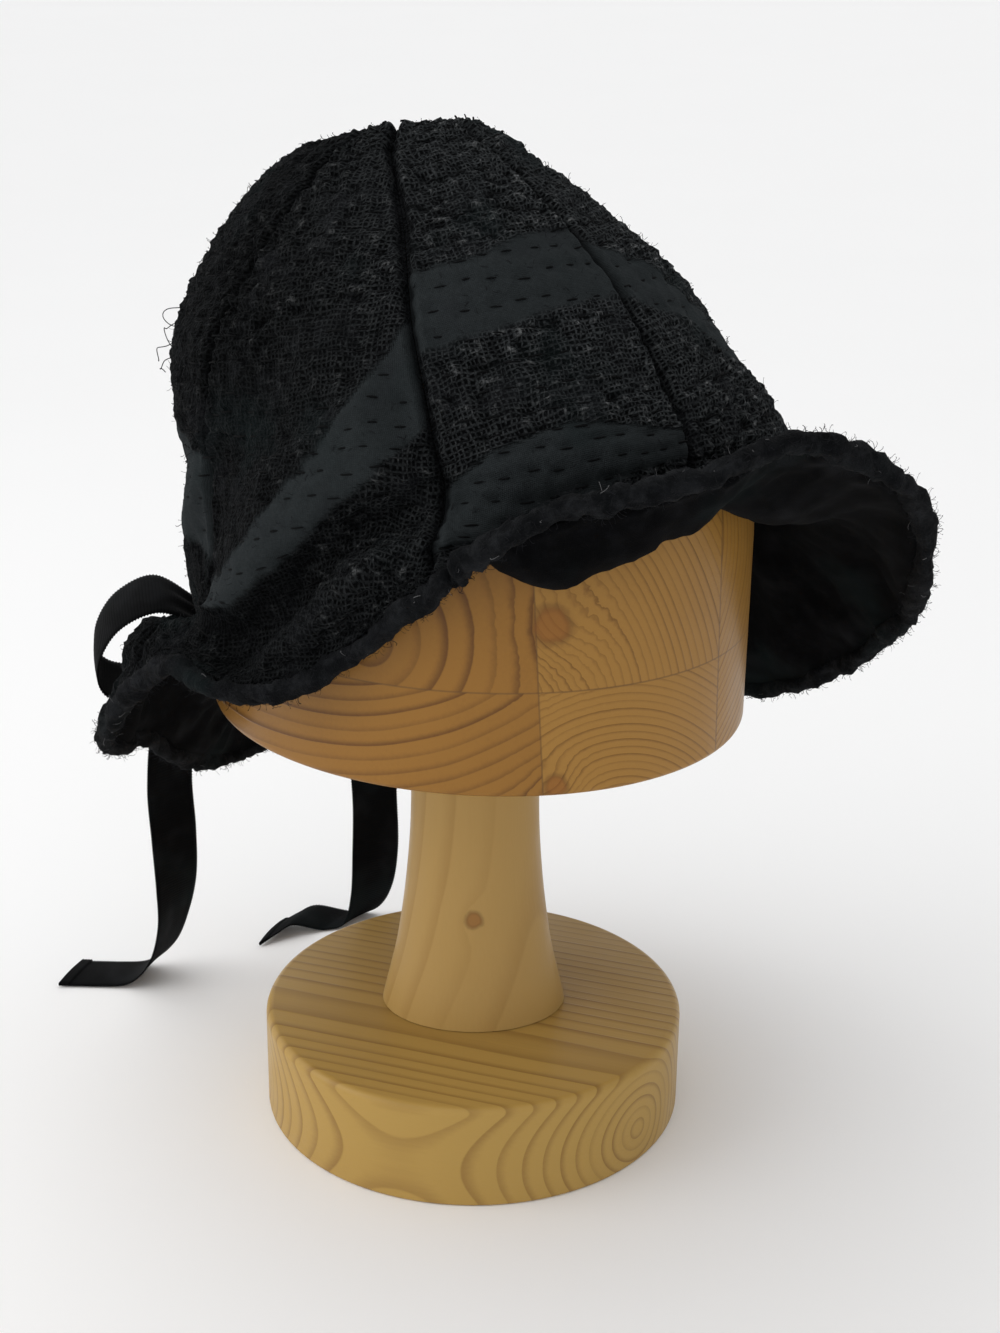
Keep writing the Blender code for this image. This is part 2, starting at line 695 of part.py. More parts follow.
def main():
    clear_scene()
    collection = bpy.data.collections.new(OBJECT_NAME)
    bpy.context.scene.collection.children.link(collection)
    make_base(collection)
    make_post(collection)
    make_block(collection)
    cloth = Cloth()
    make_gores(cloth, collection)
    make_lining(cloth, collection)
    make_brim_edge(cloth, collection)
    place = knot_place(cloth)
    make_knot(place, collection)
    make_loop("loop_right", -1, place, collection)
    make_loop("loop_left", 1, place, collection)
    make_tail("tail_right", RIGHT_TAIL_ROUTE, place, collection)
    make_tail("tail_left", LEFT_TAIL_ROUTE, place, collection)


if __name__ == "__main__":
    main()
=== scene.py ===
"""Looks of a soft six-gore poke bonnet, tied at the nape, on its turned pine hat stand.

Metres, +Z up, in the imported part's own frame: the origin is the centre of the base's underside, the
bonnet's front faces -Y and the wearer's left is +X. An azimuth is counted in degrees from the front
towards the wearer's left. A level runs down a gore, from 0 at the apex to 1 at the brim's edge.
"""

import enum
import json
import logging
import math
from dataclasses import dataclass, field

import bpy
import numpy as np
from mathutils import Matrix, Vector

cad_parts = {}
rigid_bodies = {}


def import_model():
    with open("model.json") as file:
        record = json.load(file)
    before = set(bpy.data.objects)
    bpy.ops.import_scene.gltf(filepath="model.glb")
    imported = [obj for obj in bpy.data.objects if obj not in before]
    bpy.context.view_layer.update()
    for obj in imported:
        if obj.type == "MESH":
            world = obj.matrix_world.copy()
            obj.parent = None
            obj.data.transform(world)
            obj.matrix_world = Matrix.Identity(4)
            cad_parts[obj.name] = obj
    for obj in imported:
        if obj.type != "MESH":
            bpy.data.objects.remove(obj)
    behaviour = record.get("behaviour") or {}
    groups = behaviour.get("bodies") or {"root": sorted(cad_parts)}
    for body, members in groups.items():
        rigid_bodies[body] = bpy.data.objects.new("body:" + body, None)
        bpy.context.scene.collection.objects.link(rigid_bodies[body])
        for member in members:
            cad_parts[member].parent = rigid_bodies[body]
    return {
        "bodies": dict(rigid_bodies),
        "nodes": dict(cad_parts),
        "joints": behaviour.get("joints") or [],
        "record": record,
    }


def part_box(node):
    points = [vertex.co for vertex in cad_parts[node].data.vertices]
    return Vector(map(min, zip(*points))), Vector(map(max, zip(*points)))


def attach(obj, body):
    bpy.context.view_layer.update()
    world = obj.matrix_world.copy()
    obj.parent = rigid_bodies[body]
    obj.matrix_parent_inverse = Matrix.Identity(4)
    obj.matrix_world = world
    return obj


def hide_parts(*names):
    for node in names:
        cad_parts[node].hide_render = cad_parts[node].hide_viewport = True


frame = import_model()

LOG = logging.getLogger("bonnet")
Socket = bpy.types.NodeSocket
Material = bpy.types.Material


class Slot(enum.Enum):
    """The record's material slots."""

    PINE = "pine"
    GAUZE = "quilted_gauze"
    LINING = "lining_cotton"
    EDGE = "frayed_edge"
    RIBBON = "grosgrain"


class Side(enum.Enum):
    """A side of the wearer, with the sign of X there."""

    RIGHT = -1
    LEFT = 1


class Gore(enum.Enum):
    """The crown's panels, in order of azimuth."""

    FRONT_LEFT = "gore_front_left"
    SIDE_LEFT = "gore_side_left"
    BACK_LEFT = "gore_back_left"
    BACK_RIGHT = "gore_back_right"
    SIDE_RIGHT = "gore_side_right"
    FRONT_RIGHT = "gore_front_right"


# ---- numbers over a surface ----


def cubic(knots: np.ndarray, pick, at: np.ndarray) -> np.ndarray:
    """A smooth cubic through values at increasing knots.

    Args:
        knots: the places of the values.
        pick: gives the values for an array of knot numbers, one row for each place asked for.
        at: the places to read.

    Returns:
        The values there, one row each.
    """
    last = len(knots) - 1
    index = np.clip(np.searchsorted(knots, at) - 1, 0, last - 1)

    def slope(k: np.ndarray) -> np.ndarray:
        low = np.maximum(k - 1, 0)
        high = np.minimum(k + 1, last)
        return (pick(high) - pick(low)) / (knots[high] - knots[low])[:, None]

    span = (knots[index + 1] - knots[index])[:, None]
    t = (at - knots[index])[:, None] / span
    start = pick(index)
    end = pick(index + 1)
    ease = t * t * (3.0 - 2.0 * t)
    leave = slope(index) * (span * t * (1.0 - t) ** 2)
    arrive = slope(index + 1) * (span * t * t * (1.0 - t))
    return start + (end - start) * ease + leave - arrive


def through(rows: np.ndarray, at: np.ndarray) -> np.ndarray:
    """A smooth curve through evenly spaced rows of numbers, read at shares of its run from 0 to 1."""
    return cubic(np.linspace(0.0, 1.0, len(rows)), lambda k: rows[k], at)


def around(table: np.ndarray, column: int, azimuth: np.ndarray) -> np.ndarray:
    """A column of a table whose first column is azimuths, read smoothly at any azimuth."""
    turn = 360.0
    knots = np.concatenate([table[-2:, 0] - turn, table[:, 0], table[:2, 0] + turn])
    values = np.concatenate([table[-2:, column], table[:, column], table[:2, column]])[:, None]
    wrapped = (azimuth + 180.0) % turn - 180.0
    return cubic(knots, lambda k: values[k], wrapped)[:, 0]


def past(azimuth: np.ndarray, start: float) -> np.ndarray:
    """How far each azimuth lies past a start, from -180 to 180 degrees."""
    return (azimuth - start + 180.0) % 360.0 - 180.0


def full_turn(steps: int) -> np.ndarray:
    """Evenly spaced angles round a circle, in radians."""
    return np.linspace(0.0, 2.0 * math.pi, steps, endpoint=False)


def heading(azimuth: np.ndarray) -> np.ndarray:
    """Level unit vectors at these azimuths."""
    angle = np.radians(azimuth)
    return np.stack([np.sin(angle), -np.cos(angle), np.zeros_like(angle)], -1)


def unit(vectors: np.ndarray) -> np.ndarray:
    """The vectors at length one."""
    return vectors / np.maximum(np.linalg.norm(vectors, axis=-1, keepdims=True), 1e-12)


def bell(distance: np.ndarray) -> np.ndarray:
    """A smooth hump, one at no distance and near nothing past two."""
    return np.exp(-distance * distance)


def step_up(value: np.ndarray, low: float, high: float) -> np.ndarray:
    """A smooth step from 0 at low to 1 at high."""
    share = np.clip((value - low) / (high - low), 0.0, 1.0)
    return share * share * (3.0 - 2.0 * share)


class SolidNoise:
    """Smooth noise in space, about -1 to 1, the same for the same seed."""

    CELLS = 256

    def __init__(self, seed: int) -> None:
        """Shuffles the cells.

        Args:
            seed: what the shuffle depends on.
        """
        random = np.random.default_rng(seed)
        self.order = random.permutation(self.CELLS)
        self.slopes = unit(random.normal(size=(self.CELLS, 3)))

    def at(self, points: np.ndarray) -> np.ndarray:
        """The noise at points given in cells."""
        cell = np.floor(points).astype(int)
        part = points - cell
        ease = part ** 3 * (part * (part * 6.0 - 15.0) + 10.0)
        total = np.zeros(points.shape[:-1])
        for corner in np.ndindex(2, 2, 2):
            near = np.array(corner)
            where = (cell + near) % self.CELLS
            index = self.order[where[..., 0]]
            index = self.order[(index + where[..., 1]) % self.CELLS]
            index = self.order[(index + where[..., 2]) % self.CELLS]
            weight = np.where(near, ease, 1.0 - ease).prod(-1)
            total += weight * (self.slopes[index] * (part - near)).sum(-1)
        return total * 1.6

    def layered(self, points: np.ndarray, octaves: int) -> np.ndarray:
        """Noise with finer and fainter noise on top."""
        return sum(self.at(points * 2.0 ** k + 17.0 * k) * 0.5 ** k for k in range(octaves))


# ---- forms shared with the solids ----


@dataclass(frozen=True)
class StandSizes:
    """Sizes of the round base, the waisted oval post and the oval block."""

    base_radius: float = 0.075
    base_thickness: float = 0.037
    base_edge: float = 0.0028
    post_height: float = 0.1178
    post_foot_half_width: float = 0.033
    post_waist_half_width: float = 0.0225
    post_top_half_width: float = 0.0245
    post_flatness: float = 0.8
    post_turn: float = 37.0
    block_half_width: float = 0.0872
    block_half_length: float = 0.0963
    block_wall_height: float = 0.0622
    block_dome_height: float = 0.0995
    block_edge: float = 0.0022
    block_turn: float = -22.0
    gap: float = 0.0003

    @property
    def post_base_level(self) -> float:
        """Height of the post's foot."""
        return self.base_thickness + self.gap

    @property
    def block_base_level(self) -> float:
        """Height of the block's underside."""
        return self.post_base_level + self.post_height + self.gap

    @property
    def dome_base_level(self) -> float:
        """Height at which the block's wall turns into its dome."""
        return self.block_base_level + self.block_wall_height

    @property
    def block_top_level(self) -> float:
        """Height of the block's top."""
        return self.dome_base_level + self.block_dome_height

    def block_radius(self, azimuth: np.ndarray) -> np.ndarray:
        """The block wall's distance from its axis."""
        angle = np.radians(azimuth - self.block_turn)
        across = self.block_half_width * np.cos(angle)
        along = self.block_half_length * np.sin(angle)
        return self.block_half_width * self.block_half_length / np.hypot(across, along)


# Crown sections from the apex down: level, drop as a share of the crown's depth, radius as a share of
# the head ring, setback as a share of the apex's, and the rise of the ring's front per radius
CROWN_SECTIONS = np.array(
    (
        # level, drop, radius, back, lean
        (0.00, 0.00, 0.00, 1.00, 0.20),
        (0.10, -0.04, 0.24, 1.00, 0.21),
        (0.20, 0.06, 0.40, 1.06, 0.24),
        (0.34, 0.27, 0.625, 0.84, 0.18),
        (0.48, 0.53, 0.825, 0.60, 0.17),
        (0.60, 0.78, 0.915, 0.29, 0.15),
        (0.72, 1.00, 0.965, 0.06, 0.20),
    )
)

# Brim by azimuth: how far the fold under the crown and the edge's middle lie below the head ring, as
# shares of the brim's drop, how far out they lie, as shares of its reach, and the arch between them
BRIM_SECTIONS = np.array(
    (
        # azimuth, fold drop, fold reach, edge drop, edge reach, arch
        (-172, 0.64, -0.04, 0.93, 0.30, 0.00),
        (-160, 0.61, -0.04, 0.86, 0.30, 0.04),
        (-150, 0.56, -0.03, 0.755, 0.35, 0.14),
        (-142, 0.50, -0.02, 0.715, 0.50, 0.28),
        (-132, 0.42, 0.00, 0.655, 0.55, 0.36),
        (-121, 0.34, 0.00, 0.50, 0.46, 0.20),
        (-110, 0.28, 0.00, 0.37, 0.36, -0.04),
        (-97, 0.25, 0.00, 0.39, 0.28, -0.06),
        (-87, 0.19, 0.00, 0.38, 0.21, -0.04),
        (-75, 0.11, 0.00, 0.29, 0.07, 0.00),
        (-64, 0.05, 0.00, 0.17, 0.10, 0.00),
        (-54, 0.04, 0.00, 0.03, 0.22, -0.03),
        (-43, 0.05, -0.01, -0.07, 0.31, -0.06),
        (-25, -0.03, -0.02, -0.13, 0.41, -0.05),
        (-13, -0.04, 0.00, -0.185, 0.52, -0.02),
        (0, 0.01, 0.06, -0.105, 0.71, 0.04),
        (13, 0.06, 0.10, 0.045, 0.81, 0.08),
        (22, 0.09, 0.14, 0.225, 0.81, 0.10),
        (40, 0.17, 0.22, 0.455, 0.80, 0.08),
        (53, 0.24, 0.24, 0.605, 0.76, 0.06),
        (68, 0.32, 0.20, 0.74, 0.69, 0.04),
        (80, 0.38, 0.14, 0.79, 0.60, 0.02),
        (100, 0.46, 0.07, 0.85, 0.49, 0.04),
        (120, 0.54, 0.02, 0.87, 0.32, -0.02),
        (140, 0.60, -0.02, 0.90, 0.23, 0.03),
        (160, 0.64, -0.04, 0.94, 0.25, -0.02),
        (175, 0.65, -0.04, 0.97, 0.33, 0.03),
    )
)

# Main folds and dents: a straight crease between two places, its depth (negative is a dent) and half
# width, as shares of the fold sizes
FOLDS = (
    # azimuth and level at one end, azimuth and level at the other, depth, half width
    (-68, 0.66, -108, 0.86, 0.75, 0.90),
    (-58, 0.74, -96, 0.90, -0.60, 0.70),
    (-56, 0.82, -88, 0.93, 0.55, 0.65),
    (-84, 0.52, -122, 0.78, -0.30, 0.90),
    (-40, 0.86, -22, 0.86, -0.85, 1.10),
    (-6, 0.80, 8, 0.90, -0.40, 0.90),
    (20, 0.80, 34, 0.96, 0.45, 0.90),
    (52, 0.78, 60, 0.97, -0.40, 0.80),
    (86, 0.78, 92, 0.96, 0.40, 0.80),
    (118, 0.78, 114, 0.96, -0.40, 0.80),
    (150, 0.74, 146, 0.96, 0.35, 0.70),
    (-136, 0.90, -139, 1.00, -0.60, 0.60),
)

# Lesser folds that the ribbon's pull and the cloth's own weight leave, in the same terms
FINE_FOLDS = (
    # azimuth and level at one end, azimuth and level at the other, depth, half width
    (-66, 0.58, -92, 0.70, 0.22, 0.40),
    (-64, 0.70, -100, 0.84, 0.20, 0.34),
    (-74, 0.76, -112, 0.90, -0.22, 0.34),
    (-70, 0.84, -104, 0.94, 0.20, 0.34),
    (-120, 0.70, -160, 0.84, 0.24, 0.40),
    (-124, 0.62, -166, 0.80, -0.22, 0.40),
    (-128, 0.78, -172, 0.86, -0.20, 0.36),
    (124, 0.68, 168, 0.82, 0.24, 0.40),
    (128, 0.60, 172, 0.79, -0.22, 0.40),
    (-48, 0.84, -30, 0.90, 0.25, 0.40),
    (-34, 0.80, -20, 0.80, 0.22, 0.45),
    (-52, 0.90, -44, 0.98, 0.24, 0.36),
    (-26, 0.90, -24, 0.98, 0.20, 0.36),
    (6, 0.84, 12, 0.97, 0.20, 0.40),
    (26, 0.88, 24, 0.99, -0.22, 0.36),
    (44, 0.84, 46, 0.98, 0.22, 0.36),
    (70, 0.86, 76, 0.99, -0.22, 0.36),
    (100, 0.84, 104, 0.98, 0.20, 0.36),
)


@dataclass(frozen=True)
class BonnetForm:
    """The bonnet's outer face, a surface over azimuth and level."""

    stand: StandSizes = StandSizes()
    seam_azimuths: tuple = (-16.0, 49.0, 115.0, 180.0, 240.0, 300.0)
    seam_sweeps: tuple = ((24.0, 2.0), (24.0, 2.0), (24.0, 2.0), (24.0, 2.0), (78.0, 2.5), (24.0, 2.0))
    apex_rise: float = 0.015
    apex_back: float = 0.039
    apex_hole_radius: float = 0.0012
    crown_depth: float = 0.0923
    head_ease: float = 0.0065
    puff: float = 0.0022
    brim_reach: float = 0.060
    brim_drop: float = 0.144
    edge_roll_radius: float = 0.0034
    roll_room: float = 0.0005
    fold_depth: float = 0.010
    fold_half_width: float = 0.011
    fold_level: float = 0.84
    brim_middle_level: float = 0.92
    shell_wall: float = 0.0016
    lining_wall: float = 0.0010
    piece_gap: float = 0.0003
    block_room: float = 0.0006

    @property
    def apex_level(self) -> float:
        """Height of the crown's apex."""
        return self.stand.block_top_level + self.apex_rise

    @property
    def head_level(self) -> float:
        """Height of the head ring's middle."""
        return self.apex_level - self.crown_depth

    @property
    def cloth_wall(self) -> float:
        """Thickness of the shell and the lining together."""
        return self.shell_wall + self.piece_gap + self.lining_wall

    def seam_lines(self, levels: np.ndarray) -> np.ndarray:
        """Each seam's azimuth at these levels, with the first seam again at the end."""
        sweeps = np.array(self.seam_sweeps)
        lines = np.array(self.seam_azimuths)[:, None] + sweeps[:, :1] * (1.0 - levels) ** sweeps[:, 1:]
        return np.vstack([lines, lines[:1] + 360.0])

    def head_radius(self, azimuth: np.ndarray) -> np.ndarray:
        """The head ring's distance from the stand's axis."""
        return self.stand.block_radius(azimuth) + self.head_ease

    def plain(self, azimuth: np.ndarray, level: np.ndarray) -> np.ndarray:
        """Points of the smooth face, before folds and fullness.

        Args:
            azimuth: where each point's gore line stands at its own level.
            level: each point's level.

        Returns:
            One row of x, y and z for each point.
        """
        ring = self.head_radius(azimuth)
        ahead = heading(azimuth)
        lines = []
        for _, drop, radius, back, lean in CROWN_SECTIONS:
            reach = np.maximum(radius * ring, self.apex_hole_radius)
            place = ahead * reach[:, None]
            place[:, 1] += back * self.apex_back
            place[:, 2] = self.apex_level - drop * self.crown_depth
            place[:, 2] += lean * reach * np.cos(np.radians(azimuth))
            lines.append(place)
        ends = []
        for drop_column, reach_column in ((1, 2), (3, 4)):
            reach = ring + self.brim_reach * around(BRIM_SECTIONS, reach_column, azimuth)
            place = ahead * reach[:, None]
            place[:, 2] = self.head_level - self.brim_drop * around(BRIM_SECTIONS, drop_column, azimuth)
            ends.append(place)
        fold, edge = ends
        middle = (fold + edge) * 0.5
        middle[:, 2] += self.brim_reach * around(BRIM_SECTIONS, 5, azimuth)
        edge = edge - unit(edge - middle) * (self.edge_roll_radius + self.roll_room)
        lines = np.stack(lines + [fold, middle, edge])
        knots = np.append(CROWN_SECTIONS[:, 0], (self.fold_level, self.brim_middle_level, 1.0))
        number = np.arange(len(azimuth))
        return cubic(knots, lambda k: lines[k, number], level)

    def folds(self, azimuth: np.ndarray, level: np.ndarray, rows: tuple) -> np.ndarray:
        """How far a table's folds lift the cloth, along its normal."""
        girth = 2.0 * math.pi * (self.stand.block_half_width + self.head_ease) / 360.0
        length = self.crown_depth + self.brim_reach
        height = np.zeros_like(azimuth)
        for start, start_level, end, end_level, depth, width in rows:
            run = np.array(((end - start) * girth, (end_level - start_level) * length))
            away = past(azimuth, start)
            here = np.stack([away * girth, (level - start_level) * length], -1)
            share = np.clip(here @ run / (run @ run), 0.0, 1.0)
            distance = np.linalg.norm(here - share[..., None] * run, axis=-1)
            height += depth * self.fold_depth * bell(distance / (width * self.fold_half_width))
        return height

    def fullness(self, share: np.ndarray, level: np.ndarray) -> np.ndarray:
        """How far a gore stands proud between its seams; the share runs from one to the next."""
        fade = np.minimum(level / 0.2, 1.0) * np.minimum((1.0 - level) / 0.3, 1.0)
        return self.puff * fade * np.sqrt(np.abs(np.sin(math.pi * share)))

    def clear_of_block(self, points: np.ndarray) -> np.ndarray:
        """The points moved out, where they have to, so that the cloth's wall clears the block."""
        stand = self.stand
        centre = np.zeros_like(points)
        centre[..., 2] = np.minimum(points[..., 2], stand.dome_base_level)
        arm = points - centre
        length = np.linalg.norm(arm, axis=-1)
        azimuth = np.degrees(np.arctan2(arm[..., 0], -arm[..., 1]))
        climb = np.arctan2(arm[..., 2], np.hypot(arm[..., 0], arm[..., 1]))
        wide = (np.cos(climb) / stand.block_radius(azimuth)) ** 2
        high = (np.sin(climb) / stand.block_dome_height) ** 2
        least = (wide + high) ** -0.5 + self.cloth_wall + self.block_room
        softness = 0.0008
        spare = np.clip((length - least) / softness, -60.0, 60.0)
        reach = least + softness * np.log1p(np.exp(spare))
        free = (spare > 20.0) | (points[..., 2] < stand.block_base_level - 0.5 * self.brim_reach)
        scale = np.where(free, 1.0, reach / length)
        return centre + arm * scale[..., None]


# ---- meshes ----


def rings_about(side: np.ndarray, across: np.ndarray, angle: np.ndarray) -> np.ndarray:
    """Unit directions at these angles round each station, from its side vector to its across vector."""
    cosine = np.cos(angle)[None, :, None]
    sine = np.sin(angle)[None, :, None]
    return side[:, None] * cosine + across[:, None] * sine


def grid_normals(grid: np.ndarray, closed: bool) -> np.ndarray:
    """Outward unit normals of a grid of columns, each from the top down."""
    if closed:
        across = np.roll(grid, -1, 0) - np.roll(grid, 1, 0)
    else:
        across = np.gradient(grid, axis=0)
    return unit(np.cross(np.gradient(grid, axis=1), across))


def quads(*corners: np.ndarray) -> np.ndarray:
    """Faces of four corners, from four arrays of point numbers."""
    return np.stack(corners, -1).reshape(-1, 4)


def mesh_of(name: str, points: np.ndarray, faces: list) -> bpy.types.Mesh:
    """A smooth-shaded mesh from points and lists of faces."""
    mesh = bpy.data.meshes.new(name)
    corners = [face for group in faces for face in group.tolist()]
    mesh.from_pydata(points.reshape(-1, 3).tolist(), [], corners)
    mesh.update()
    mesh.shade_smooth()
    return mesh


def wall_mesh(name: str, outer: np.ndarray, inner: np.ndarray, closed: bool) -> bpy.types.Mesh:
    """A closed wall between two grids of columns.

    Args:
        name: the mesh's name.
        outer: the outer face's points, columns by rows.
        inner: the inner face's points, columns by rows.
        closed: whether the last column meets the first.

    Returns:
        The mesh, its outer face's points first.
    """
    columns, rows = outer.shape[:2]
    size = columns * rows
    number = np.arange(size).reshape(columns, rows)
    if closed:
        number = np.vstack([number, number[:1]])
    skin = quads(number[:-1, :-1], number[:-1, 1:], number[1:, 1:], number[1:, :-1])
    faces = [skin, skin[:, ::-1] + size]
    borders = [(number[:-1, 0], number[1:, 0]), (number[1:, -1], number[:-1, -1])]
    if not closed:
        borders += [(number[0, 1:], number[0, :-1]), (number[-1, :-1], number[-1, 1:])]
    for first, second in borders:
        faces.append(quads(first, second, second + size, first + size))
    return mesh_of(name, np.concatenate([outer.reshape(-1, 3), inner.reshape(-1, 3)]), faces)


def tube_mesh(name: str, rings: np.ndarray, closed: bool) -> bpy.types.Mesh:
    """A closed tube from rings of points; an open one gets a flat cap at each end.

    Args:
        name: the mesh's name.
        rings: stations by sides by three.
        closed: whether the last ring meets the first.

    Returns:
        The mesh.
    """
    stations, sides = rings.shape[:2]
    number = np.arange(stations * sides).reshape(stations, sides)
    ahead = np.roll(number, -1, 1)
    first = number if closed else number[:-1]
    second = np.roll(number, -1, 0) if closed else number[1:]
    turned = np.roll(second, -1, 1)
    side = ahead if closed else ahead[:-1]
    faces = [quads(first, side, turned, second)]
    if not closed:
        faces += [number[0][::-1][None, :], number[-1][None, :]]
    return mesh_of(name, rings, faces)


def corners_of(mesh: bpy.types.Mesh) -> np.ndarray:
    """The number of the point at each corner of each face."""
    corners = np.empty(len(mesh.loops), int)
    mesh.loops.foreach_get("vertex_index", corners)
    return corners


def put_uv(mesh: bpy.types.Mesh, across: np.ndarray, down: np.ndarray, faces: int = 2) -> None:
    """Stores the cloth's own flat coordinates, in metres, the same for each of its faces."""
    pair = np.stack(np.broadcast_arrays(across, down), -1).reshape(-1, 2)
    pair = np.tile(pair, (faces, 1))
    layer = mesh.uv_layers.new(name="cloth")
    layer.data.foreach_set("uv", pair[corners_of(mesh)].astype(np.float32).ravel())


def put_attribute(mesh: bpy.types.Mesh, name: str, values: np.ndarray) -> None:
    """Stores a number at each point of a wall's outer face, and the same on its inner face."""
    both = np.concatenate([values.ravel(), values.ravel()]).astype(np.float32)
    mesh.attributes.new(name, "FLOAT", "POINT").data.foreach_set("value", both)


def in_scene(name: str, data) -> bpy.types.Object:
    """A new object with this mesh, light or camera, linked to the scene."""
    made = bpy.data.objects.new(name, data)
    bpy.context.scene.collection.objects.link(made)
    return made


def piece(
    name: str, mesh: bpy.types.Mesh, material: Material, slot: Slot, *nodes: str
) -> bpy.types.Object:
    """A finished piece of the part.

    Args:
        name: the piece's name.
        mesh: its shape, already in place.
        material: its finish.
        slot: the record's slot that the finish belongs to. It is not used.
        nodes: the solids that it stands for.

    Returns:
        The piece, riding on the part's one body.
    """
    made = in_scene(name, mesh)
    if not mesh.materials:
        mesh.materials.append(material)
    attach(made, "root")
    if nodes:
        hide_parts(*nodes)
    LOG.info("%s: %d faces", name, len(mesh.polygons))
    return made


# ---- node trees ----


class Sketch:
    """Adds nodes to a tree and joins them."""

    def __init__(self, tree: bpy.types.NodeTree) -> None:
        """Takes the tree.

        Args:
            tree: the tree to add to.
        """
        self.tree = tree

    def add(self, kind: str, inputs: dict | None = None, **settings) -> bpy.types.Node:
        """A new node.

        Args:
            kind: the node's type.
            inputs: a value or another node's socket for each input, by name or number.
            settings: the node's own settings.

        Returns:
            The node.
        """
        node = self.tree.nodes.new(kind)
        for name, value in settings.items():
            setattr(node, name, value)
        for key, value in (inputs or {}).items():
            self.feed(node.inputs[key], value)
        return node

    def feed(self, socket: Socket, value) -> None:
        """Joins a socket to the input, or sets its value."""
        if isinstance(value, Socket):
            self.tree.links.new(value, socket)
        else:
            socket.default_value = value

    def math(self, operation: str, *terms) -> Socket:
        """The result of a Math node."""
        return self.add("ShaderNodeMath", dict(enumerate(terms)), operation=operation).outputs[0]

    def product(self, *terms) -> Socket:
        """The terms multiplied together."""
        result = terms[0]
        for term in terms[1:]:
            result = self.math("MULTIPLY", result, term)
        return result

    def total(self, first, second) -> Socket:
        """The sum of two terms."""
        return self.math("ADD", first, second)

    def vector(self, operation: str, *terms) -> Socket:
        """The vector result of a Vector Math node."""
        return self.add("ShaderNodeVectorMath", dict(enumerate(terms)), operation=operation).outputs[0]

    def scaled(self, vector: Socket, scale) -> Socket:
        """The vector times a number."""
        inputs = {0: vector, "Scale": scale}
        return self.add("ShaderNodeVectorMath", inputs, operation="SCALE").outputs[0]

    def dot(self, first: Socket, second) -> Socket:
        """The dot product of two vectors."""
        node = self.add("ShaderNodeVectorMath", {0: first, 1: second}, operation="DOT_PRODUCT")
        return node.outputs["Value"]

    def parts(self, vector: Socket):
        """A vector's three numbers."""
        return self.add("ShaderNodeSeparateXYZ", {0: vector}).outputs

    def joined(self, x=0.0, y=0.0, z=0.0) -> Socket:
        """A vector made of three numbers."""
        return self.add("ShaderNodeCombineXYZ", {0: x, 1: y, 2: z}).outputs[0]

    def stored(self, name: str) -> Socket:
        """A number stored on the mesh under this name."""
        return self.add("ShaderNodeAttribute", attribute_name=name).outputs["Fac"]

    def wander(self, vector: Socket, detail: float, reach) -> Socket:
        """A vector that drifts slowly, by up to half of the reach each way."""
        inputs = {"Vector": vector, "Scale": 1.0, "Detail": detail}
        colour = self.add("ShaderNodeTexNoise", inputs).outputs["Color"]
        return self.scaled(self.vector("SUBTRACT", colour, (0.5, 0.5, 0.5)), reach)

    def smooth(
        self, value: Socket, low: float, high: float, start: float = 0.0, end: float = 1.0
    ) -> Socket:
        """A smooth step from start at low to end at high."""
        inputs = {"Value": value, "From Min": low, "From Max": high, "To Min": start, "To Max": end}
        return self.add("ShaderNodeMapRange", inputs, interpolation_type="SMOOTHSTEP").outputs[0]

    def mix(self, share, first, second) -> Socket:
        """A colour between two."""
        return self.add("ShaderNodeMix", {0: share, 6: first, 7: second}, data_type="RGBA").outputs[2]

    def blend(self, share, first: Socket, second: Socket) -> Socket:
        """A number between two."""
        return self.add("ShaderNodeMix", {0: share, 2: first, 3: second}).outputs[0]

    def in_space(self) -> Socket:
        """The place on the object, in metres."""
        return self.add("ShaderNodeTexCoord").outputs["Object"]

    def on_cloth(self) -> Socket:
        """The place on the flat cloth, in metres."""
        return self.add("ShaderNodeUVMap", uv_map="cloth").outputs[0]

    def from_axis(self, place) -> Socket:
        """The distance from the local X axis."""
        flat = self.total(self.product(place[1], place[1]), self.product(place[2], place[2]))
        return self.math("SQRT", flat)

    def noise(self, vector: Socket, scale: float, detail: float = 2.0, roughness: float = 0.5) -> Socket:
        """Noise from 0 to 1."""
        inputs = {"Vector": vector, "Scale": scale, "Detail": detail, "Roughness": roughness}
        return self.add("ShaderNodeTexNoise", inputs).outputs[0]

    def bump(
        self, height: Socket, distance: float, strength: float = 1.0, normal: Socket | None = None
    ) -> Socket:
        """A normal from a height."""
        inputs = {"Height": height, "Distance": distance, "Strength": strength}
        if normal is not None:
            inputs["Normal"] = normal
        return self.add("ShaderNodeBump", inputs).outputs[0]


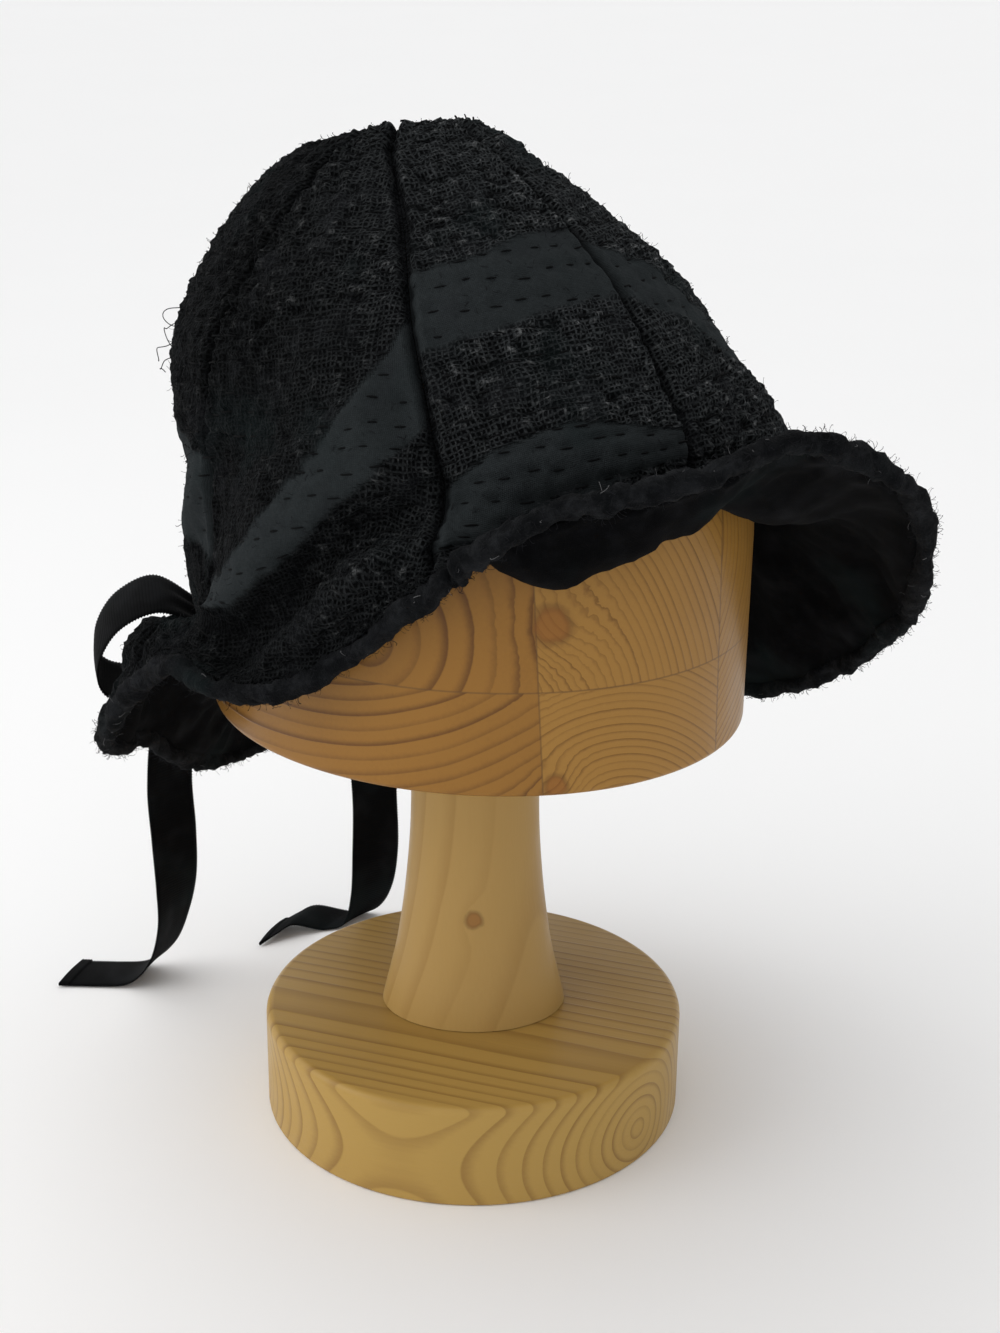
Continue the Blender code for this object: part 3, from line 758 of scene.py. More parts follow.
class SharedEffect:
    """A shader node group, built once and placed in each material that uses it."""

    NAME = ""
    INPUTS: tuple = ()
    OUTPUTS: tuple = ()

    @classmethod
    def place(cls, sketch: Sketch, inputs: dict) -> bpy.types.Node:
        """Puts the group in a material.

        Args:
            sketch: the material's tree.
            inputs: a value or socket for each named input.

        Returns:
            The group's node.
        """
        tree = bpy.data.node_groups.get(cls.NAME)
        if tree is None:
            tree = bpy.data.node_groups.new(cls.NAME, "ShaderNodeTree")
            for name, kind, value in cls.INPUTS:
                socket = tree.interface.new_socket(name, in_out="INPUT", socket_type=kind)
                if value is not None:
                    socket.default_value = value
            for name, kind in cls.OUTPUTS:
                tree.interface.new_socket(name, in_out="OUTPUT", socket_type=kind)
            inner = Sketch(tree)
            given = inner.add("NodeGroupInput").outputs
            results = cls.build(inner, given)
            end = inner.add("NodeGroupOutput")
            for name, value in results.items():
                inner.feed(end.inputs[name], value)
        node = sketch.tree.nodes.new("ShaderNodeGroup")
        node.node_tree = tree
        for name, value in inputs.items():
            sketch.feed(node.inputs[name], value)
        return node

    @staticmethod
    def build(inner: Sketch, given) -> dict:
        """Builds the group's inside and gives its results by name."""
        raise NotImplementedError


FLOAT = "NodeSocketFloat"
VECTOR = "NodeSocketVector"
COLOUR = "NodeSocketColor"


class PineGrain(SharedEffect):
    """Growth rings round the local X axis, with fibres along it."""

    NAME = "pine grain"
    INPUTS = (
        ("Vector", VECTOR, None),
        ("Ring pitch", FLOAT, 0.003),
        ("Wander", FLOAT, 0.006),
        ("Push", FLOAT, 0.0),
        ("Early wood", COLOUR, (0.8, 0.6, 0.3, 1.0)),
        ("Late wood", COLOUR, (0.5, 0.3, 0.1, 1.0)),
    )
    OUTPUTS = (("Color", COLOUR), ("Height", FLOAT))

    @staticmethod
    def build(inner: Sketch, given) -> dict:
        """Rings that darken outwards and end sharply, then fine fibres and broad mottling."""
        place = given["Vector"]
        drift = inner.wander(inner.vector("MULTIPLY", place, (5.0, 14.0, 14.0)), 2.0, given["Wander"])
        moved = inner.parts(inner.vector("ADD", place, drift))
        distance = inner.total(inner.from_axis(moved), given["Push"])
        rings = inner.math("DIVIDE", distance, given["Ring pitch"])
        age = inner.math("FLOOR", rings)
        share = inner.math("FRACT", rings)
        strength = inner.add("ShaderNodeTexWhiteNoise", {"W": age}, noise_dimensions="1D").outputs[0]
        strength = inner.smooth(strength, 0.0, 1.0, 0.45, 1.0)
        late = inner.product(inner.smooth(share, 0.34, 0.95), inner.smooth(share, 0.91, 1.0, 1.0, 0.0))
        late = inner.product(inner.math("POWER", late, 1.9), strength)
        fibre = inner.noise(inner.vector("MULTIPLY", place, (22.0, 900.0, 900.0)), 1.0, 3.0, 0.6)
        mottle = inner.noise(inner.vector("MULTIPLY", place, (9.0, 40.0, 40.0)), 1.0, 2.0)
        shade = inner.math("MULTIPLY_ADD", inner.math("SUBTRACT", fibre, 0.5), 0.35, late)
        shade = inner.math("MULTIPLY_ADD", inner.math("SUBTRACT", mottle, 0.5), 0.4, shade)
        shade = inner.math("MINIMUM", inner.math("MAXIMUM", shade, 0.0), 1.0)
        colour = inner.mix(shade, given["Early wood"], given["Late wood"])
        height = inner.math("MULTIPLY_ADD", fibre, 0.5, inner.product(late, 0.6))
        return {"Color": colour, "Height": height}


class PineKnot(SharedEffect):
    """A small branch cut across, running along the local X axis."""

    NAME = "pine knot"
    INPUTS = (("Vector", VECTOR, None), ("Radius", FLOAT, 0.004))
    OUTPUTS = (("Core", FLOAT), ("Rim", FLOAT), ("Push", FLOAT))

    @staticmethod
    def build(inner: Sketch, given) -> dict:
        """Masks for its core and rim, and how far it pushes the rings round it aside."""
        across = inner.from_axis(inner.parts(given["Vector"]))
        wobble = inner.math("MULTIPLY_ADD", inner.noise(given["Vector"], 300.0), 0.5, 0.75)
        share = inner.product(inner.math("DIVIDE", across, given["Radius"]), wobble)
        core = inner.smooth(share, 0.75, 1.05, 1.0, 0.0)
        rim = inner.product(inner.smooth(share, 0.55, 0.95), inner.smooth(share, 1.0, 1.35, 1.0, 0.0))
        push = inner.math("EXPONENT", inner.product(share, share, -0.18))
        push = inner.product(push, inner.product(given["Radius"], 1.6))
        return {"Core": core, "Rim": rim, "Push": push}


class OpenWeave(SharedEffect):
    """Crossing threads over flat cloth coordinates in metres, with open holes between them."""

    NAME = "open weave"
    INPUTS = (
        ("Vector", VECTOR, None),
        ("Pitch", FLOAT, 0.0015),
        ("Ruffle", FLOAT, 0.002),
        ("Thread share", FLOAT, 0.35),
    )
    OUTPUTS = (("Height", FLOAT), ("Thread", FLOAT))

    @staticmethod
    def build(inner: Sketch, given) -> dict:
        """Threads both ways, drawn out of line by the crinkle."""
        wide = inner.vector("MULTIPLY", given["Vector"], (140.0, 140.0, 0.0))
        drift = inner.wander(wide, 3.0, given["Ruffle"])
        parts = inner.parts(inner.vector("ADD", given["Vector"], drift))
        threads = []
        for part in (parts[0], parts[1]):
            share = inner.math("FRACT", inner.math("DIVIDE", part, given["Pitch"]))
            away = inner.math("ABSOLUTE", inner.math("SUBTRACT", share, 0.5))
            away = inner.math("DIVIDE", away, given["Thread share"])
            threads.append(inner.smooth(away, 0.35, 1.0, 1.0, 0.0))
        thread = inner.math("MAXIMUM", *threads)
        height = inner.total(inner.product(threads[0], 0.6), inner.product(threads[1], 0.6))
        return {"Height": height, "Thread": thread}


class ClothDust(SharedEffect):
    """Sparse pale lint, and the broad greying and greening of old black dye."""

    NAME = "lint and fading"
    INPUTS = (("Vector", VECTOR, None), ("Color", COLOUR, (0.0, 0.0, 0.0, 1.0)), ("Lint", FLOAT, 0.5))
    OUTPUTS = (("Color", COLOUR),)
    GREENED = (0.0085, 0.0140, 0.0145, 1.0)
    GREYED = (0.0150, 0.0158, 0.0180, 1.0)
    LINT = (0.22, 0.22, 0.225, 1.0)

    @classmethod
    def build(cls, inner: Sketch, given) -> dict:
        """Green and grey drifts over the given colour, then specks of lint."""
        broad = inner.noise(given["Vector"], 26.0, 3.0)
        green = inner.smooth(broad, 0.52, 0.72, 0.0, 0.5)
        colour = inner.mix(green, given["Color"], cls.GREENED)
        grey = inner.smooth(inner.noise(given["Vector"], 61.0, 2.0), 0.5, 0.8, 0.0, 0.45)
        colour = inner.mix(grey, colour, cls.GREYED)
        cells = inner.add("ShaderNodeTexVoronoi", {"Vector": given["Vector"], "Scale": 210.0}).outputs
        speck = inner.smooth(cells["Distance"], 0.035, 0.075, 1.0, 0.0)
        chosen = inner.math("LESS_THAN", inner.parts(cells["Color"])[0], given["Lint"])
        colour = inner.mix(inner.product(speck, chosen), colour, cls.LINT)
        return {"Color": colour}


# ---- finishes ----


def darker(colour: tuple, share: float) -> tuple:
    """A colour dimmed to a share of itself."""
    return tuple(share * channel for channel in colour[:3]) + (1.0,)


def shader_of(name: str) -> tuple[Material, Sketch, bpy.types.Node]:
    """A new material with its Principled shader."""
    material = bpy.data.materials.new(name)
    material.use_nodes = True
    return material, Sketch(material.node_tree), material.node_tree.nodes["Principled BSDF"]


def set_plain(shader: bpy.types.Node, values: dict) -> None:
    """Sets a shader's plain values by name."""
    for name, value in values.items():
        shader.inputs[name].default_value = value


@dataclass(frozen=True)
class Board:
    """One glued piece of pine: where its pith lies and how it is turned."""

    pith: tuple
    turn: tuple
    ring_pitch: float
    early: tuple
    late: tuple
    wander: float = 0.010


@dataclass(frozen=True)
class PineFinish:
    """Varnished pine, of one board or of several glued together.

    A cut is a plane through a point with a normal. What lies past it is the next board. A cut that names
    another cut and a side holds only on that side of it.
    """

    name: str
    boards: tuple
    cuts: tuple = ()
    knots: tuple = ()
    roughness: float = 0.36
    glue: tuple = (0.12, 0.06, 0.02, 1.0)
    knot_core: tuple = (0.24, 0.080, 0.012, 1.0)
    knot_rim: tuple = (0.085, 0.032, 0.007, 1.0)

    def make(self) -> Material:
        """The material."""
        material, sketch, shader = shader_of(self.name)
        place = sketch.in_space()
        push = None
        stains = []
        for centre, turn, radius in self.knots:
            turned = self.seen_from(sketch, place, centre, turn)
            knot = PineKnot.place(sketch, {"Vector": turned, "Radius": radius}).outputs
            push = knot["Push"] if push is None else sketch.total(push, knot["Push"])
            stains.append(knot)
        colour = height = None
        for index, board in enumerate(self.boards):
            inputs = {
                "Vector": self.seen_from(sketch, place, board.pith, board.turn),
                "Ring pitch": board.ring_pitch,
                "Wander": board.wander,
                "Early wood": (*board.early, 1.0),
                "Late wood": (*board.late, 1.0),
            }
            if push is not None:
                inputs["Push"] = push
            grain = PineGrain.place(sketch, inputs).outputs
            if index == 0:
                colour, height = grain["Color"], grain["Height"]
                continue
            next_board = self.beyond(sketch, place, self.cuts[index - 1])
            colour = sketch.mix(next_board, colour, grain["Color"])
            height = sketch.blend(next_board, height, grain["Height"])
        for cut in self.cuts:
            line = self.glue_line(sketch, place, cut)
            colour = sketch.mix(line, colour, self.glue)
        for knot in stains:
            for mask, strength, stain in (("Core", 0.62, self.knot_core), ("Rim", 0.35, self.knot_rim)):
                colour = sketch.mix(sketch.product(knot[mask], strength), colour, stain)
        sketch.feed(shader.inputs["Base Color"], colour)
        worn = sketch.noise(place, 45.0, 3.0)
        gloss = sketch.smooth(worn, 0.2, 0.8, self.roughness - 0.06, self.roughness + 0.1)
        sketch.feed(shader.inputs["Roughness"], gloss)
        set_plain(shader, {"Specular IOR Level": 0.2, "Coat Weight": 0.05, "Coat Roughness": 0.25})
        sketch.feed(shader.inputs["Normal"], sketch.bump(height, 0.00025, 0.5))
        return material

    @staticmethod
    def seen_from(sketch: Sketch, place: Socket, centre: tuple, turn: tuple) -> Socket:
        """Coordinates about a centre, with the local X axis along a grain or branch turned so."""
        away = sketch.vector("SUBTRACT", place, centre)
        angles = tuple(math.radians(angle) for angle in turn)
        inputs = {"Vector": away, "Rotation": angles}
        turned = sketch.add("ShaderNodeVectorRotate", inputs, rotation_type="EULER_XYZ", invert=True)
        return turned.outputs[0]

    @staticmethod
    def reach_past(sketch: Sketch, place: Socket, cut: tuple) -> Socket:
        """How far a place lies past a cut's plane."""
        point, normal = cut[:2]
        return sketch.dot(sketch.vector("SUBTRACT", place, point), normal)

    def beyond(self, sketch: Sketch, place: Socket, cut: tuple) -> Socket:
        """One past a cut's plane, and nothing before it."""
        result = sketch.math("GREATER_THAN", self.reach_past(sketch, place, cut), 0.0)
        return self.kept(sketch, place, cut, result)

    def glue_line(self, sketch: Sketch, place: Socket, cut: tuple) -> Socket:
        """A thin darker line along a cut."""
        away = sketch.math("ABSOLUTE", self.reach_past(sketch, place, cut))
        return self.kept(sketch, place, cut, sketch.smooth(away, 0.00012, 0.0004, 0.55, 0.0))

    def kept(self, sketch: Sketch, place: Socket, cut: tuple, value: Socket) -> Socket:
        """The value on the sides of other cuts that a cut holds on, and nothing elsewhere."""
        for other, side in cut[2:]:
            test = sketch.product(self.reach_past(sketch, place, self.cuts[other]), side)
            value = sketch.product(value, sketch.math("GREATER_THAN", test, 0.0))
        return value


@dataclass(frozen=True)
class GauzeFinish:
    """Black cotton gauze quilted over a plain ground.

    It reads four stored numbers: one marks where the smooth ground shows, one is high in deep dents and
    seam grooves, which it darkens as painted shade, one is high on tufts that stand proud, which it
    lightens as a painted highlight, and one runs from high at the front to low at the back, which scales
    the colour as painted light, brighter at the front and darker at the back.
    """

    name: str = "black crinkled gauze"
    thread: tuple = (0.0200, 0.0220, 0.0230, 1.0)
    tuft_highlight: tuple = (0.0900, 0.0930, 0.0940, 1.0)
    hollow_shade: tuple = (0.0005, 0.0006, 0.0007, 1.0)
    dent_shade: tuple = (0.0008, 0.0009, 0.0011, 1.0)
    least_shade: float = 0.40
    most_shade: float = 2.2
    band: tuple = (0.0225, 0.0265, 0.0280, 1.0)
    pitch: float = 0.00155
    ruffle: float = 0.0042

    def make(self) -> Material:
        """The material."""
        material, sketch, shader = shader_of(self.name)
        place = sketch.in_space()
        flat = sketch.on_cloth()
        names = ("band", "hollow_shade", "raised", "faded_and_painted_light")
        band, hollow_shade, raised, faded_and_painted_light = (sketch.stored(name) for name in names)
        open_inputs = {"Vector": flat, "Pitch": self.pitch, "Ruffle": self.ruffle, "Thread share": 0.30}
        gauze = OpenWeave.place(sketch, open_inputs).outputs
        fine_inputs = {"Vector": flat, "Pitch": 0.00055, "Ruffle": 0.0006, "Thread share": 0.5}
        plain = OpenWeave.place(sketch, fine_inputs).outputs
        fuzz = sketch.noise(place, 900.0, 3.0, 0.6)
        thread = sketch.product(gauze["Thread"], sketch.smooth(fuzz, 0.25, 0.75, 0.45, 1.0))
        tufts = sketch.noise(sketch.vector("MULTIPLY", flat, (260.0, 420.0, 0.0)), 1.0, 4.0, 0.68)
        # Painted highlight: tufts that stand proud get a far paler colour where the tuft noise is high.
        proud = sketch.smooth(raised, 0.0, 0.8, 0.12, 1.0)
        lit = sketch.product(proud, sketch.smooth(tufts, 0.50, 0.68))
        colour = sketch.mix(lit, self.thread, self.tuft_highlight)
        # Painted shade: the open holes between the threads take a near-black colour.
        cover = sketch.math("MAXIMUM", thread, sketch.product(lit, 0.8))
        colour = sketch.mix(cover, self.hollow_shade, colour)
        # Painted shade: low spots of the tuft noise are darkened towards the same near-black.
        sunk_shade = sketch.smooth(tufts, 0.34, 0.50, 0.85, 0.0)
        colour = sketch.mix(sunk_shade, colour, self.hollow_shade)
        ground = sketch.mix(sketch.smooth(fuzz, 0.2, 0.8), self.band, darker(self.band, 0.72))
        # Painted light: the colour is scaled from 0.4 times at the back to 2.2 times at the front,
        # brighter where the light falls.
        shade = sketch.smooth(faded_and_painted_light, 0.2, 1.0, self.least_shade, self.most_shade)
        colour = sketch.scaled(colour, shade)
        colour = sketch.mix(band, colour, ground)
        # Painted shade: deep dents and seam grooves are darkened.
        colour = sketch.mix(sketch.product(hollow_shade, 0.75), colour, self.dent_shade)
        dust = ClothDust.place(sketch, {"Vector": place, "Color": colour, "Lint": 0.012})
        sketch.feed(shader.inputs["Base Color"], dust.outputs["Color"])
        set_plain(shader, {"Roughness": 0.92, "Specular IOR Level": 0.04, "Sheen Weight": 0.015})
        set_plain(shader, {"Sheen Roughness": 0.45, "Sheen Tint": (0.75, 0.85, 0.95, 1.0)})
        weave = sketch.blend(band, gauze["Height"], sketch.product(plain["Height"], 0.25))
        normal = sketch.bump(weave, 0.0007, 0.9)
        off_band = sketch.math("SUBTRACT", 1.1, band)
        normal = sketch.bump(sketch.product(tufts, off_band), 0.0034, 0.75, normal)
        sketch.feed(shader.inputs["Normal"], sketch.bump(fuzz, 0.00035, 0.5, normal))
        return material


@dataclass(frozen=True)
class CottonFinish:
    """Plain black cotton, for the lining and the rolled edge."""

    name: str
    colour: tuple
    faded_and_painted_light: tuple
    fuzz_depth: float
    lint: float
    sheen: float
    gap: tuple = (0.002, 0.002, 0.003, 1.0)

    def make(self) -> Material:
        """The material."""
        material, sketch, shader = shader_of(self.name)
        place = sketch.in_space()
        flat = sketch.on_cloth()
        inputs = {"Vector": flat, "Pitch": 0.0006, "Ruffle": 0.0008, "Thread share": 0.5}
        weave = OpenWeave.place(sketch, inputs).outputs
        fuzz = sketch.noise(place, 1100.0, 3.0, 0.65)
        rubbed = sketch.smooth(sketch.noise(place, 150.0, 5.0, 0.7), 0.42, 0.68)
        colour = sketch.mix(rubbed, self.colour, self.faded_and_painted_light)
        gaps = sketch.smooth(weave["Thread"], 0.0, 1.0, 0.35, 0.0)
        colour = sketch.mix(gaps, colour, self.gap)
        dust = ClothDust.place(sketch, {"Vector": place, "Color": colour, "Lint": self.lint})
        sketch.feed(shader.inputs["Base Color"], dust.outputs["Color"])
        set_plain(shader, {"Roughness": 0.9, "Specular IOR Level": 0.05})
        set_plain(shader, {"Sheen Weight": self.sheen, "Sheen Roughness": 0.5})
        normal = sketch.bump(weave["Height"], 0.00012, 0.6)
        sketch.feed(shader.inputs["Normal"], sketch.bump(fuzz, self.fuzz_depth, 0.6, normal))
        return material


@dataclass(frozen=True)
class RibbonFinish:
    """Black grosgrain with a faint gloss on its ribs."""

    name: str = "black grosgrain"
    colour: tuple = (0.0014, 0.0016, 0.0019, 1.0)
    worn: tuple = (0.0040, 0.0044, 0.0050, 1.0)

    def make(self) -> Material:
        """The material."""
        material, sketch, shader = shader_of(self.name)
        place = sketch.in_space()
        flat = sketch.on_cloth()
        rub = sketch.smooth(sketch.noise(place, 90.0, 3.0), 0.45, 0.8)
        colour = sketch.mix(rub, self.colour, self.worn)
        dust = ClothDust.place(sketch, {"Vector": place, "Color": colour, "Lint": 0.004})
        sketch.feed(shader.inputs["Base Color"], dust.outputs["Color"])
        set_plain(shader, {"Roughness": 0.66, "Specular IOR Level": 0.05})
        set_plain(shader, {"Sheen Weight": 0.006, "Sheen Roughness": 0.4})
        threads = sketch.vector("MULTIPLY", flat, (3600.0, 500.0, 0.0))
        normal = sketch.bump(sketch.noise(threads, 1.0, 2.0), 0.00018, 0.6)
        sketch.feed(shader.inputs["Normal"], normal)
        return material


@dataclass(frozen=True)
class ThreadFinish:
    """Cotton sewing thread or a loose cotton fibre."""

    name: str
    colour: tuple
    roughness: float = 0.8

    def make(self) -> Material:
        """The material."""
        material, sketch, shader = shader_of(self.name)
        place = sketch.in_space()
        twist = sketch.noise(place, 1500.0, 2.0)
        colour = sketch.mix(twist, darker(self.colour, 0.45), self.colour)
        sketch.feed(shader.inputs["Base Color"], colour)
        set_plain(shader, {"Roughness": self.roughness, "Specular IOR Level": 0.08})
        sketch.feed(shader.inputs["Normal"], sketch.bump(twist, 0.00012, 0.5))
        return material


# ---- what repeats ----


class ShapeSketch(Sketch):
    """Adds the nodes that Geometry Nodes trees share."""

    def bent_rod(self, places: tuple, radius: Socket, sides: int) -> Socket:
        """A thin capped rod bent through three places, with as many steps as sides."""
        inputs = {"Resolution": sides, **dict(zip(("Start", "Middle", "End"), places))}
        bend = self.add("GeometryNodeCurveQuadraticBezier", inputs).outputs[0]
        inputs = {"Resolution": sides, "Radius": radius}
        ring = self.add("GeometryNodeCurvePrimitiveCircle", inputs).outputs[0]
        inputs = {"Curve": bend, "Profile Curve": ring, "Fill Caps": True}
        return self.add("GeometryNodeCurveToMesh", inputs).outputs[0]

    def random_vector(self, low, high, seed: Socket) -> Socket:
        """A random vector between two, another one for each copy."""
        inputs = {"Min": low, "Max": high, "Seed": seed}
        return self.add("FunctionNodeRandomValue", inputs, data_type="FLOAT_VECTOR").outputs[0]

    def copies(self, points: Socket, shape: Socket, turn: Socket, size: Socket) -> Socket:
        """A copy of a shape on each point."""
        inputs = {"Points": points, "Instance": shape, "Rotation": turn, "Scale": size}
        return self.add("GeometryNodeInstanceOnPoints", inputs).outputs[0]

    def turned_to(self, axis: str, vector: Socket, **more) -> bpy.types.Node:
        """A rotation that points an axis along a vector."""
        return self.add("FunctionNodeAlignRotationToVector", {"Vector": vector}, axis=axis, **more)

    def read(self, name: str) -> Socket:
        """A vector stored on the points under this name."""
        node = self.add("GeometryNodeInputNamedAttribute", {"Name": name}, data_type="FLOAT_VECTOR")
        return node.outputs[0]


class Repeater:
    """A Geometry Nodes tree with named inputs, used on a carrier mesh and turned into a plain mesh."""

    NAME = ""
    INPUTS: tuple = ()

    @classmethod
    def tree(cls) -> bpy.types.NodeTree:
        """The tree, built on first use."""
        found = bpy.data.node_groups.get(cls.NAME)
        if found is not None:
            return found
        made = bpy.data.node_groups.new(cls.NAME, "GeometryNodeTree")
        made.interface.new_socket("Geometry", in_out="INPUT", socket_type="NodeSocketGeometry")
        for name, kind in cls.INPUTS:
            made.interface.new_socket(name, in_out="INPUT", socket_type=kind)
        made.interface.new_socket("Geometry", in_out="OUTPUT", socket_type="NodeSocketGeometry")
        sketch = ShapeSketch(made)
        given = sketch.add("NodeGroupInput").outputs
        instances = cls.build(sketch, given)
        realised = sketch.add("GeometryNodeRealizeInstances", {0: instances}).outputs[0]
        inputs = {"Geometry": realised, "Material": given["Material"]}
        sketch.add("NodeGroupOutput", {0: sketch.add("GeometryNodeSetMaterial", inputs).outputs[0]})
        return made

    @staticmethod
    def build(sketch: ShapeSketch, given) -> Socket:
        """Builds the tree's inside and gives the instances."""
        raise NotImplementedError

    @classmethod
    def run(cls, name: str, carrier: bpy.types.Mesh, inputs: dict) -> bpy.types.Mesh:
        """Repeats over a carrier.

        Args:
            name: the new mesh's name.
            carrier: the mesh whose points or faces carry the copies.
            inputs: a value for each named input.

        Returns:
            The plain mesh of all the copies.
        """
        tree = cls.tree()
        holder = in_scene(name + "_carrier", carrier)
        modifier = holder.modifiers.new("repeat", "NODES")
        modifier.node_group = tree
        for item in tree.interface.items_tree:
            if item.item_type == "SOCKET" and item.in_out == "INPUT" and item.name in inputs:
                modifier[item.identifier] = inputs[item.name]
        holder.update_tag()
        graph = bpy.context.evaluated_depsgraph_get()
        made = bpy.data.meshes.new_from_object(holder.evaluated_get(graph))
        made.name = name
        bpy.data.objects.remove(holder)
        made.shade_smooth()
        return made


class ShortStitches(Repeater):
    """Bowed lengths of thread on points, each along and proud of its stored directions."""

    NAME = "short stitches"
    INPUTS = (
        ("Stitch length", FLOAT),
        ("Thread radius", FLOAT),
        ("Rise", FLOAT),
        ("Seed", "NodeSocketInt"),
        ("Material", "NodeSocketMaterial"),
    )

    @staticmethod
    def build(sketch: ShapeSketch, given) -> Socket:
        """A bowed thread on each point, with its ends in the cloth."""
        half = sketch.product(given["Stitch length"], 0.5)
        dip = sketch.product(given["Rise"], -1.0)
        start, end = (sketch.joined(x=dip, z=sketch.product(half, sign)) for sign in (-1.0, 1.0))
        top = sketch.joined(x=sketch.product(given["Rise"], 2.2))
        thread = sketch.bent_rod((start, top, end), given["Thread radius"], 4)
        turned = sketch.turned_to("X", sketch.read("proud"), pivot_axis="Z")
        sketch.feed(turned.inputs["Rotation"], sketch.turned_to("Z", sketch.read("along")).outputs[0])
        size = sketch.random_vector((0.8, 0.8, 0.7), (1.25, 1.25, 1.3), given["Seed"])
        return sketch.copies(given["Geometry"], thread, turned.outputs[0], size)


class LooseFibres(Repeater):
    """Thin bent fibres scattered over faces, leaning any way."""

    NAME = "loose fibres"
    INPUTS = (
        ("Density", FLOAT),
        ("Fibre length", FLOAT),
        ("Fibre radius", FLOAT),
        ("Lean", FLOAT),
        ("Seed", "NodeSocketInt"),
        ("Material", "NodeSocketMaterial"),
    )

    @staticmethod
    def build(sketch: ShapeSketch, given) -> Socket:
        """A bent fibre on each scattered point."""
        length = given["Fibre length"]
        middle, end = (
            sketch.joined(x=sketch.product(length, out), z=sketch.product(length, up))
            for out, up in ((0.35, 0.75), (0.7, 0.55))
        )
        fibre = sketch.bent_rod(((0.0, 0.0, 0.0), middle, end), given["Fibre radius"], 3)
        inputs = {"Mesh": given["Geometry"], "Density": given["Density"], "Seed": given["Seed"]}
        scattered = sketch.add("GeometryNodeDistributePointsOnFaces", inputs).outputs
        back = sketch.product(given["Lean"], -1.0)
        half_turn = 3.14
        low = sketch.joined(back, back, -half_turn)
        high = sketch.joined(given["Lean"], given["Lean"], half_turn)
        lean = sketch.random_vector(low, high, given["Seed"])
        spun = sketch.add("FunctionNodeEulerToRotation", {0: lean}).outputs[0]
        inputs = {0: scattered["Rotation"], 1: spun}
        turned = sketch.add("FunctionNodeRotateRotation", inputs, rotation_space="LOCAL").outputs[0]
        size = sketch.random_vector((0.35, 0.35, 0.35), (1.3, 1.3, 1.3), given["Seed"])
        return sketch.copies(scattered[0], fibre, turned, size)


# ---- the hat stand ----


